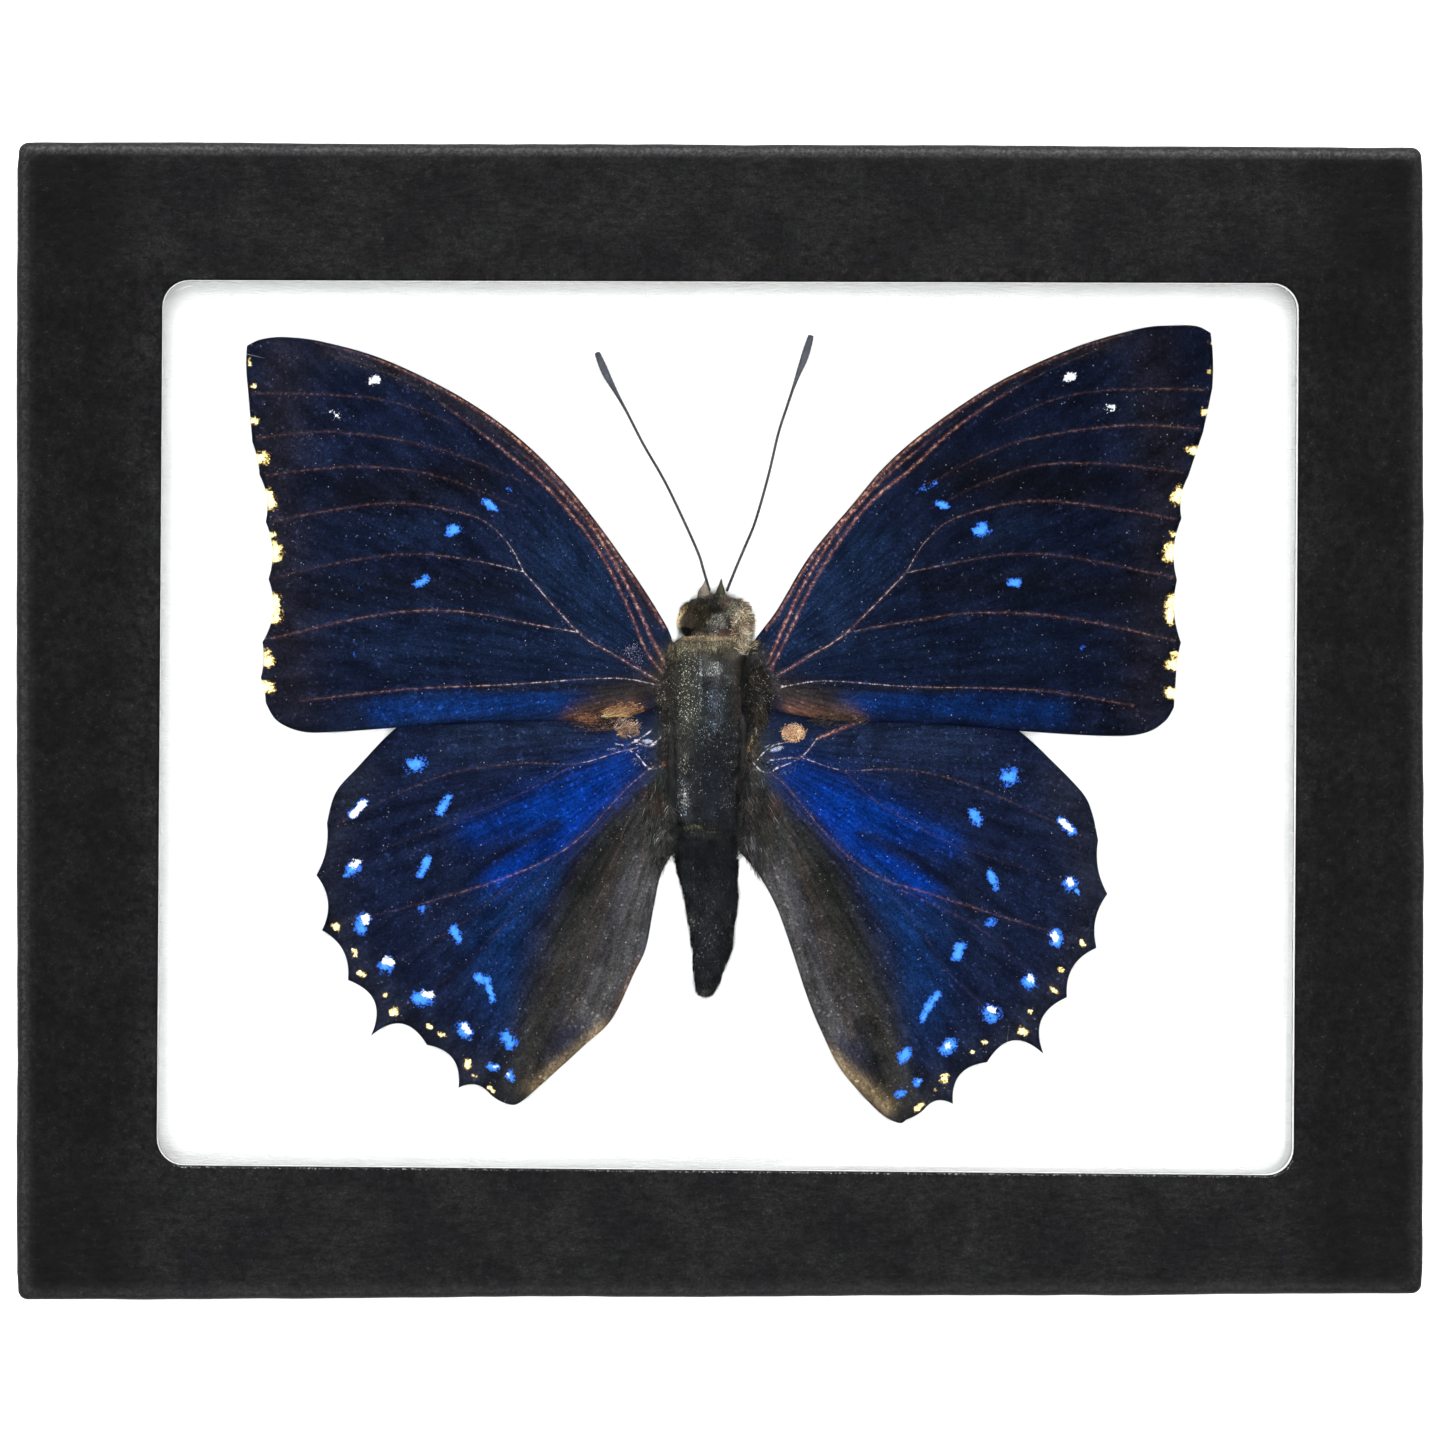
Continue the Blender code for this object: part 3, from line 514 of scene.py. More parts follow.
def build_lid(mat):
    """The board's face, its fold, the skirt and the cut edge of the window, as one band of rings."""
    top, under = BOX_DEPTH, BOX_DEPTH - LID_BOARD
    rings, wear = [], []

    def ring(outline, z, wear_and_highlight=0.0):
        rings.append(np.column_stack((outline, np.full(len(outline), z))))
        wear.append(wear_and_highlight)

    def window(grow):
        return loop([(x + math.copysign(grow, x), y + math.copysign(grow, y)) for x, y in WINDOW],
                    WINDOW_RADIUS + grow)

    for z in np.linspace(under, top - WINDOW_EDGE, 4)[:-1]:
        ring(window(0.0), z)
    for a in np.linspace(0, math.pi / 2, 7):
        ring(window(WINDOW_EDGE * (1 - math.cos(a))), top - WINDOW_EDGE * (1 - math.sin(a)))
    inner, outer = window(WINDOW_EDGE), rectangle(FOLD_RADIUS, CORNER_RADIUS)
    for t in np.linspace(0, 1, 22)[1:-1]:
        ring(inner + (outer - inner) * t, top, 0.2 * (t > 0.93))
    face = len(rings)
    # the fold's rings are paler: rubbing, and a painted highlight that peaks a little way into the bend,
    # where the light would catch it
    for a in np.linspace(0, math.pi / 2, 9):
        wear_and_highlight = 0.3 + 0.7 * math.exp(-((a - 0.25) / 0.35) ** 2)
        ring(rectangle(FOLD_RADIUS * (1 - math.sin(a)), CORNER_RADIUS),
             top - FOLD_RADIUS * (1 - math.cos(a)), wear_and_highlight)
    for z in np.linspace(top - FOLD_RADIUS, TABLE_GAP + GAP, 26)[1:]:
        ring(rectangle(0.0, CORNER_RADIUS), z, 0.3 if z < 2.0 else 0.0)
    skirt = len(rings)
    ring(rectangle(0.1, CORNER_RADIUS), TABLE_GAP + 0.08, 0.5)
    ring(rectangle(GAP, CORNER_RADIUS), TABLE_GAP, 0.3)
    ring(rectangle(LID_SKIRT - GAP, GAP), TABLE_GAP)
    for z in np.linspace(TABLE_GAP + GAP, under, 5):
        ring(rectangle(LID_SKIRT, GAP), z)
    last = rings[-1]
    for t in np.linspace(0, 1, 5)[1:-1]:
        rings.append(last + (rings[0] - last) * t)
        wear.append(0.0)
    p = np.array(rings)
    count = p.shape[1]
    flat = p.reshape(-1, 3)
    slow = lumpy(flat, 22.0, 3.0).reshape(len(p), count)
    quick = lumpy(flat, 3.5, 9.0).reshape(len(p), count)
    # the board's face dips a little between its edges and the paper lies in shallow waves
    p[3:face, :, 2] -= np.abs(slow[3:face]) * 0.06 + np.abs(quick[3:face]) * 0.03
    # the fold is pressed unevenly, and the skirt bows
    out = p[face:skirt, :, :2] / np.maximum(np.abs(p[face:skirt, :, :2]), 1e-6)
    reach = np.abs(p[face:skirt, :, :2]) > np.array((BOX_WIDTH / 2 - 1.0, BOX_HEIGHT / 2 - 1.0))
    bow = (slow[face:skirt] * 0.12 + quick[face:skirt] * 0.05)[..., None] - 0.06
    p[face:skirt, :, :2] += out * reach * bow
    # paper flaps on the two short sides end just before the corners, one thickness proud
    short = np.abs(p[face:skirt, :, 0]) > BOX_WIDTH / 2 - 1.2
    slant = FLAP_EDGE - (BOX_DEPTH - p[face:skirt, :, 2]) * 0.05 - np.abs(p[face:skirt, :, 1])
    step = FLAP_STEP * (1 - smooth(slant / 0.2))
    p[face:skirt, :, 0] -= np.sign(p[face:skirt, :, 0]) * step * short
    # the folds are paler, partly rubbed and partly painted highlight, most along the top, which faces the key
    # light, then on the left; the window's lower edge is painted frayed grey, partly a highlight on its
    # rounding and partly dust
    x, y = p[:, :, 0], p[:, :, 1]
    side = 0.2 + 0.8 * smooth((y - 50.6) / 0.8) + 0.15 * smooth((-61.5 - x) / 1.2) * (y < 51.0)
    order = np.arange(len(p))[:, None]
    # the cut edge is bare white board; the window's lower rounding gets pale speckles, partly dust and partly
    # painted highlight
    bare_edge_and_highlight = 1.0 * (order > 0) * (order < 4) + 0.3 * (order > 3) * (order < 9) * smooth((-38.9 - y) / 1.2)
    lid = solid("lid_paper", p.reshape(-1, 3), quads(len(p), count, wrap_rows=True), mat,
                wear=(np.array(wear)[:, None] * side).ravel(), core=bare_edge_and_highlight.ravel())
    dress(lid, "black_paper", "lid")


# Butterfly: shared shape data

HINDWING_LEVEL, FOREWING_LEVEL = 13.95, 14.45
WING_THICKNESS, VEIN_HEIGHT, RIPPLE = 0.2, 0.07, 0.1

# Each wing: costa, margin with its teeth, inner edge
OUTLINES = {
    "forewing_left": (
        ((-4.55, 1.4), (-4.55, 4.4), (-4.5, 7.2), (-6.0, 10.2), (-9.0, 14.7), (-12.0, 18.8),
         (-15.0, 22.35), (-19.0, 26.1), (-24.0, 29.5), (-30.5, 32.65), (-36.0, 34.25),
         (-39.5, 34.7), (-41.7, 34.5), (-43.0, 33.9)),
        ((-43.0, 33.9, -0.1), (-42.9, 30.0, 0.0), (-42.5, 25.2, 0.12), (-41.85, 22.2, 0.4),
         (-41.3, 18.0, 0.5), (-41.05, 12.8, 0.7), (-41.6, 7.1, 0.2), (-41.75, 3.9, 0.1),
         (-41.3, 1.6, 0.0)),
        ((-41.3, 1.6), (-40.3, 0.0), (-38.2, -0.95), (-35.5, -1.05), (-29.6, -0.65),
         (-22.0, -0.15), (-15.0, -0.05), (-9.0, 0.4), (-4.55, 1.4))),
    "forewing_right": (
        ((2.4, 1.4), (2.4, 4.2), (2.7, 6.8), (5.0, 10.05), (8.0, 15.0), (12.0, 19.8), (15.0, 23.3),
         (19.0, 26.7), (25.0, 30.7), (32.0, 33.9), (38.0, 35.65), (41.0, 35.95), (43.2, 35.9),
         (44.5, 35.3)),
        ((44.5, 35.3, 0.15), (44.65, 30.2, 0.0), (43.85, 26.4, 0.0), (42.45, 22.2, -0.35),
         (41.85, 18.4, -0.5), (41.45, 12.8, -0.45), (41.8, 7.1, -0.1), (41.35, 4.2, 0.0),
         (41.15, 1.2, 0.0)),
        ((41.15, 1.2), (40.3, -0.1), (38.4, -1.15), (35.0, -1.4), (27.1, -0.95), (20.0, -0.35),
         (13.0, -0.1), (8.0, 0.3), (2.4, 1.4))),
    "hindwing_left": (
        ((-4.45, -12.0), (-4.55, -8.0), (-4.75, -5.0), (-5.0, -1.5), (-5.1, 1.2), (-8.0, 2.9),
         (-13.0, 3.1), (-20.0, 2.8), (-26.0, 1.5), (-29.6, -0.7), (-33.0, -4.2), (-35.0, -6.5),
         (-35.8, -9.3)),
        ((-35.8, -9.3, 0.4), (-36.75, -14.0, 0.8), (-36.25, -19.0, 0.85), (-33.9, -23.5, 1.5),
         (-31.85, -28.6, 1.55), (-26.75, -29.4, 1.15), (-23.9, -33.3, 0.6), (-21.0, -33.9, -0.1),
         (-19.4, -34.8, 0.0)),
        ((-19.4, -34.8), (-18.5, -34.75), (-16.8, -33.4), (-12.5, -29.5), (-10.0, -27.1),
         (-8.0, -23.0), (-6.9, -20.6), (-6.2, -17.0), (-5.55, -14.0), (-4.45, -12.0))),
    "hindwing_right": (
        ((1.7, -12.0), (1.7, -8.5), (1.95, -5.5), (2.4, -1.5), (2.6, 1.2), (6.0, 2.7), (11.0, 3.0),
         (18.0, 2.6), (23.5, 1.3), (27.1, -0.95), (30.0, -3.6), (32.8, -6.5), (33.7, -8.3),
         (34.3, -10.9)),
        ((34.3, -10.9, -0.45), (35.15, -15.8, -0.6), (34.15, -20.7, -0.95), (31.45, -25.2, -1.4),
         (29.35, -30.4, -1.65), (24.15, -31.1, -1.2), (21.05, -34.9, -0.6), (18.4, -35.4, 0.1),
         (16.8, -36.3, 0.0)),
        ((16.8, -36.3), (16.1, -36.6), (14.2, -35.5), (10.9, -31.8), (9.0, -28.1), (7.7, -24.9),
         (6.3, -20.6), (5.0, -17.0), (3.3, -13.9), (1.7, -12.0))),
}

# Each vein: its course, then how pale and how red it is at its root, middle and end
VEINS = {
    "forewing_left": (
        (((-5.3, 5.3), (-6.6, 7.9), (-8.5, 12.0), (-10.9, 16.2), (-12.9, 18.9), (-17.2, 23.4),
          (-22.0, 27.0)), (0.5, 0.45, 0.1), (1, 0.95, -0.4)),
        (((-5.5, 4.5), (-6.9, 6.3), (-8.4, 10.0), (-11.2, 15.4), (-15.2, 20.4), (-19.6, 24.3),
          (-24.5, 28.1), (-28.2, 30.5), (-34.5, 33.1)), (0.6, 0.3, 0.3), (0.7, 0.9, -0.7)),
        (((-5.9, 3.7), (-10.0, 6.1), (-13.0, 8.0), (-18.0, 13.5)), (0.8, 0.9, 1.0), (0.6, 0.3, 0.1)),
        (((-18.0, 13.5), (-19.6, 16.3), (-22.5, 18.5), (-29.0, 19.7), (-35.0, 19.1), (-40.6, 18.0)),
         (0.9, 0.25, 0.2), (0.04, 0.16, 0.16)),
        (((-18.0, 13.5), (-22.5, 14.5), (-28.0, 15.1), (-34.0, 14.4), (-40.3, 13.0)),
         (0.8, 0.2, 0.05), (0.04, 0.12, 0.08)),
        (((-13.0, 8.0), (-17.0, 8.7), (-24.0, 9.9), (-31.0, 9.6), (-41.0, 7.4)),
         (0.9, 0.35, 0.35), (0.08, 0.2, 0.16)),
        (((-5.7, 3.2), (-10.0, 3.85), (-19.0, 3.3), (-29.0, 2.8), (-38.0, 1.8)),
         (1.1, 0.7, 0.2), (0.04, 0.12, 0.2)),
        (((-17.5, 21.4), (-26.0, 24.7), (-35.0, 26.1), (-41.8, 25.6)), (0.1, 0.15, 0.3), (0.04, 0.12, 0.16)),
        (((-18.9, 19.5), (-26.0, 22.2), (-33.0, 23.0), (-41.2, 22.2)), (0.1, 0.2, 0.2), (0.04, 0.12, 0.12)),
        (((-24.0, 26.7), (-30.0, 28.9), (-36.0, 29.5), (-42.2, 29.6)), (0.1, 0.15, 0.3), (0.04, 0.08, 0.12))),
    "forewing_right": (
        (((4.2, 5.3), (5.4, 8.1), (7.5, 12.5), (10.6, 17.4), (14.0, 21.3), (18.5, 25.2), (22.5, 28.1)),
         (0.4, 0.5, 0.1), (1, 0.95, -0.2)),
        (((4.6, 5.0), (6.3, 8.4), (8.8, 13.4), (13.0, 19.3), (17.2, 22.9), (21.5, 26.8), (27.5, 30.7),
          (34.5, 33.9)), (0.5, 0.5, 0.3), (0.7, 0.9, -0.4)),
        (((5.2, 4.2), (8.0, 5.9), (11.3, 8.0), (16.7, 13.4)), (0.7, 0.8, 0.8), (0.6, 0.4, 0.2)),
        (((16.7, 13.4), (18.6, 16.4), (21.5, 18.5), (28.0, 19.95), (35.0, 19.4), (41.1, 18.4)),
         (0.8, 0.25, 0.2), (0.04, 0.16, 0.16)),
        (((16.7, 13.4), (20.5, 14.2), (26.0, 15.1), (31.5, 14.9), (40.7, 13.1)),
         (0.7, 0.25, 0.15), (0.04, 0.12, 0.12)),
        (((11.3, 8.0), (17.0, 9.0), (23.0, 9.8), (31.0, 9.4), (41.2, 7.3)),
         (0.6, 0.4, 0.3), (0.12, 0.2, 0.16)),
        (((5.6, 3.1), (9.5, 3.6), (17.0, 3.1), (28.5, 2.75), (37.3, 1.4)), (1.1, 0.6, 0.25), (0, 0.08, 0.16)),
        (((18.8, 21.6), (26.5, 25.2), (36.0, 26.8), (43.1, 26.6)), (0.1, 0.15, 0.3), (0.04, 0.12, 0.16)),
        (((19.0, 19.3), (27.0, 22.8), (34.0, 23.4), (41.7, 22.6)), (0.1, 0.2, 0.2), (0.04, 0.12, 0.12)),
        (((25.0, 27.0), (31.0, 29.4), (37.0, 30.15), (43.9, 30.1)), (0.1, 0.15, 0.3), (0.04, 0.08, 0.12))),
    "hindwing_left": (
        (((-6.2, -2.2), (-9.2, -2.8), (-13.2, -3.9), (-19.0, -3.9), (-26.0, -5.2), (-34.6, -9.2)),
         (1.0, 0.3, 0.0), (0, 0.08, 0.04)),
        (((-6.0, -4.0), (-8.6, -6.1), (-13.2, -10.9), (-18.0, -13.6), (-25.5, -16.1), (-35.4, -18.6)),
         (0.6, 0.6, 0.0), (0.04, 0.16, 0.04)),
        (((-13.2, -3.9), (-19.0, -7.0), (-27.0, -10.2), (-36.0, -13.8)), (0.3, 0.05, 0.0), (0.04, 0.04, 0)),
        (((-18.0, -13.6), (-23.0, -18.0), (-28.5, -21.2), (-33.1, -23.1)), (0.1, 0.0, 0.0), (0.04, 0.04, 0)),
        (((-14.8, -11.9), (-19.0, -17.6), (-24.2, -22.8), (-30.9, -27.6)), (0.0, 0.0, 0.0), (0.04, 0.04, 0)),
        (((-12.5, -12.6), (-16.6, -18.6), (-21.5, -25.0), (-26.4, -28.9)), (0.0, 0.0, 0.0), (0.04, 0, 0)),
        (((-8.2, -8.0), (-11.6, -17.0), (-16.6, -26.0), (-23.5, -32.5)), (0.1, 0.0, 0.0), (0.04, 0.04, 0)),
        (((-6.8, -9.5), (-8.2, -16.0), (-11.6, -23.0), (-16.2, -30.0)), (0.1, 0.1, 0.0), (0.08, 0.04, 0)),
        (((-9.6, -2.1), (-8.6, -2.2), (-7.4, -1.6), (-6.4, -0.9)), (1.4, 1.8, 1.6), (0, 0, 0)),
        (((-8.9, -2.6), (-7.8, -3.0), (-7.0, -4.0), (-6.2, -4.4), (-5.5, -4.1)), (1.6, 1.8, 1.5), (0, 0, 0)),
        (((-8.4, -1.4), (-7.4, -2.1), (-6.6, -2.3), (-5.6, -1.6)), (1.3, 1.7, 1.7), (0, 0, 0))),
    "hindwing_right": (
        (((4.6, -3.6), (7.2, -3.4), (11.0, -4.5), (17.0, -4.5), (23.5, -6.2), (33.4, -10.7)),
         (1.0, 0.3, 0.0), (0, 0.08, 0.04)),
        (((4.0, -4.9), (5.6, -5.7), (10.2, -11.1), (14.0, -14.1), (19.4, -15.9), (33.4, -20.3)),
         (0.5, 0.5, 0.0), (0.04, 0.2, 0.04)),
        (((11.0, -4.5), (15.0, -8.0), (22.0, -11.6), (34.4, -15.6)), (0.2, 0.05, 0.0), (0.04, 0.04, 0)),
        (((16.3, -15.4), (22.8, -18.5), (27.0, -21.8), (30.8, -24.8)), (0.1, 0.0, 0.0), (0.08, 0.04, 0)),
        (((14.0, -14.1), (17.8, -18.6), (21.6, -24.0), (28.4, -29.4)), (0.0, 0.0, 0.0), (0.04, 0.04, 0)),
        (((11.5, -13.5), (14.8, -19.5), (18.8, -26.0), (23.8, -30.6)), (0.0, 0.0, 0.0), (0.04, 0, 0)),
        (((5.4, -8.2), (8.4, -17.0), (13.6, -27.0), (20.6, -34.2)), (0.1, 0.0, 0.0), (0.04, 0.04, 0)),
        (((3.9, -9.5), (5.9, -16.0), (8.8, -23.0), (13.2, -31.6)), (0.2, 0.1, 0.0), (0.08, 0.04, 0)),
        (((4.9, -4.4), (7.2, -3.3), (8.7, -1.6)), (0.9, 1.0, 1.0), (0.04, 0.04, 0.12)),
        (((8.7, -1.6), (12.6, -0.1)), (0.2, 0.2, 0.1), (1, 1, 0.6)),
        (((3.0, -4.0), (3.6, -4.6), (4.4, -4.7), (5.2, -4.1)), (1.5, 1.8, 1.4), (0, 0, 0)),
        (((3.2, -3.6), (3.9, -2.8), (4.8, -2.2), (5.8, -2.0)), (1.3, 1.7, 1.4), (0, 0, 0))),
}

# Blue spots, white cores and cream spots: both ends, the radius and, for a sparse one, its fill
BLUE = {
    "forewing_left": (
        (-24.7, 17.2, -24.1, 17.4, 0.75), (-21.7, 20.0, -20.4, 19.1, 0.5), (-28.0, 12.2, -26.5, 12.9, 0.5),
        (-19.5, 21.2, -19.1, 21.0, 0.45, 0.1), (-35.6, 24.5, -35.5, 24.4, 0.4, 0.05),
        (-32.7, 12.0, -32.6, 11.9, 0.5, 0.05), (-31.9, 17.6, -31.9, 17.5, 0.4, 0.0),
        (-33.3, 5.9, -33.1, 6.5, 0.45, 0.05)),
    "forewing_right": (
        (23.1, 17.1, 23.9, 17.5, 0.8), (19.6, 19.8, 20.5, 19.4, 0.5), (26.2, 12.5, 27.0, 12.5, 0.6),
        (17.7, 20.8, 19.4, 21.6, 0.5, 0.25), (31.8, 17.4, 31.9, 17.5, 0.45, 0.1),
        (32.3, 11.8, 32.4, 11.9, 0.5, 0.1), (32.7, 6.6, 32.7, 6.7, 0.65, 0.1)),
    "hindwing_left": (
        (-28.0, -4.0, -27.6, -3.9, 0.9), (-25.6, -8.3, -24.8, -6.9, 0.55),
        (-27.4, -14.0, -26.6, -12.5, 0.5), (-27.2, -17.3, -26.9, -16.9, 0.75, 0.3),
        (-24.4, -18.9, -23.8, -19.8, 0.6), (-22.2, -23.3, -21.3, -23.6, 0.55),
        (-21.3, -23.6, -20.8, -25.4, 0.42), (-19.6, -28.6, -19.2, -29.3, 0.75),
        (-33.7, -8.6, -32.3, -7.4, 0.55), (-33.6, -13.5, -33.2, -13.1, 0.72),
        (-34.3, -14.2, -33.8, -13.8, 0.2), (-32.7, -18.8, -32.5, -17.9, 0.75),
        (-30.5, -22.3, -30.3, -22.0, 0.8), (-27.4, -25.2, -26.9, -25.0, 0.95),
        (-23.6, -27.8, -23.1, -28.4, 0.75), (-21.0, -31.3, -20.5, -31.5, 0.45),
        (-19.3, -32.1, -19.1, -32.5, 0.5)),
    "hindwing_right": (
        (26.0, -5.2, 26.3, -5.1, 0.95), (22.9, -8.3, 23.3, -9.2, 0.62), (24.4, -13.9, 25.0, -15.1, 0.5),
        (24.4, -18.5, 24.6, -18.2, 0.75, 0.4), (21.7, -20.5, 21.4, -21.4, 0.7),
        (19.6, -24.9, 18.9, -25.8, 0.5), (18.9, -25.8, 18.2, -27.2, 0.42), (16.8, -30.2, 16.5, -30.7, 0.72),
        (30.8, -9.0, 31.9, -10.1, 0.55), (31.6, -14.7, 31.9, -14.9, 0.75), (32.2, -15.3, 32.6, -15.8, 0.2),
        (30.4, -19.4, 30.6, -20.2, 0.7), (27.9, -23.7, 28.1, -23.9, 0.8), (24.4, -26.6, 24.6, -26.8, 0.95),
        (20.9, -29.4, 20.3, -30.0, 0.75), (17.8, -32.9, 17.9, -32.8, 0.5), (16.0, -34.1, 16.5, -33.8, 0.45)),
}
CORES = {
    "forewing_left": (
        (-31.7, 30.7, -31.3, 30.9, 0.5), (-34.9, 27.7, -34.8, 27.7, 0.9, 0.2)),
    "forewing_right": (
        (31.4, 31.1, 31.8, 31.3, 0.52), (35.3, 28.4, 35.4, 28.4, 0.95, 0.25)),
    "hindwing_left": (
        (-33.5, -8.5, -32.4, -7.5, 0.4), (-33.3, -13.1, -33.2, -12.9, 0.5),
        (-32.4, -18.3, -32.3, -17.8, 0.42), (-30.5, -21.7, -30.0, -21.9, 0.42),
        (-27.0, -24.7, -26.4, -24.9, 0.42), (-23.4, -27.7, -23.0, -28.2, 0.38),
        (-20.7, -31.3, -20.5, -31.4, 0.2), (-19.4, -32.0, -19.3, -32.2, 0.2)),
    "hindwing_right": (
        (31.0, -9.2, 31.7, -9.9, 0.36), (31.7, -14.6, 31.8, -14.8, 0.45), (30.3, -19.5, 30.4, -19.9, 0.38),
        (28.0, -23.4, 28.2, -23.6, 0.34), (24.4, -26.3, 24.8, -26.5, 0.38), (20.7, -29.5, 20.5, -29.7, 0.3),
        (17.8, -32.9, 17.9, -32.9, 0.18)),
}
CREAM = {
    "forewing_left": (
        (-42.75, 32.8, -42.75, 32.2, 0.16), (-42.5, 30.3, -42.3, 30.3, 0.25),
        (-42.5, 27.1, -42.3, 27.1, 0.42), (-42.0, 23.7, -41.5, 23.7, 0.6), (-41.2, 20.5, -40.9, 19.7, 0.62),
        (-40.9, 16.8, -40.6, 16.8, 0.3), (-40.6, 15.6, -40.5, 15.0, 0.72), (-40.6, 11.0, -40.5, 9.3, 0.6),
        (-41.2, 6.3, -41.0, 6.3, 0.3), (-41.4, 5.4, -41.0, 5.4, 0.6), (-41.4, 3.0, -41.0, 3.0, 0.55)),
    "forewing_right": (
        (44.5, 34.4, 44.4, 34.4, 0.22), (44.45, 31.7, 44.4, 31.7, 0.25), (44.1, 28.1, 43.9, 28.1, 0.38),
        (42.9, 24.6, 42.6, 24.6, 0.5), (41.7, 20.7, 41.4, 20.2, 0.6), (41.4, 17.0, 41.0, 17.0, 0.28),
        (40.95, 15.6, 40.8, 15.0, 0.68), (41.0, 10.9, 40.8, 9.3, 0.6), (41.4, 6.1, 41.1, 6.1, 0.25),
        (41.3, 5.1, 40.9, 5.1, 0.6), (41.1, 2.5, 40.7, 2.5, 0.55)),
    "hindwing_left": (
        (-35.1, -18.6, -34.8, -18.9, 0.27), (-33.4, -20.8, -33.2, -21.3, 0.22),
        (-32.9, -22.9, -32.5, -23.1, 0.25), (-30.6, -24.8, -30.4, -24.8, 0.22),
        (-29.9, -26.5, -29.6, -26.3, 0.36), (-26.6, -27.7, -26.4, -27.8, 0.22),
        (-25.6, -28.4, -25.3, -28.5, 0.22), (-23.1, -30.9, -23.1, -31.3, 0.32),
        (-22.6, -32.2, -22.2, -32.2, 0.13), (-21.2, -33.2, -20.7, -33.6, 0.18)),
    "hindwing_right": (
        (32.8, -20.2, 32.9, -20.4, 0.26), (30.8, -22.6, 31.0, -22.8, 0.22),
        (30.1, -24.4, 30.4, -24.6, 0.24), (28.0, -26.5, 28.2, -26.5, 0.22),
        (27.2, -28.1, 27.5, -28.3, 0.34), (23.8, -29.3, 24.0, -29.3, 0.22), (22.7, -30.2, 22.9, -30.2, 0.2),
        (20.3, -32.4, 20.3, -32.8, 0.32), (19.3, -33.6, 19.5, -33.6, 0.14),
        (18.1, -34.9, 18.3, -34.9, 0.22), (17.6, -35.4, 17.8, -35.4, 0.22)),
}

# Shares of its length and its radius that each full blue spot, white core and cream spot keeps
SPOT_FITS = {"forewing": ((0.65, 0.69), (0.8, 0.8), (1.0, 0.88)),
             "hindwing": ((0.9, 0.755), (1.0, 0.82), (1.0, 1.0))}

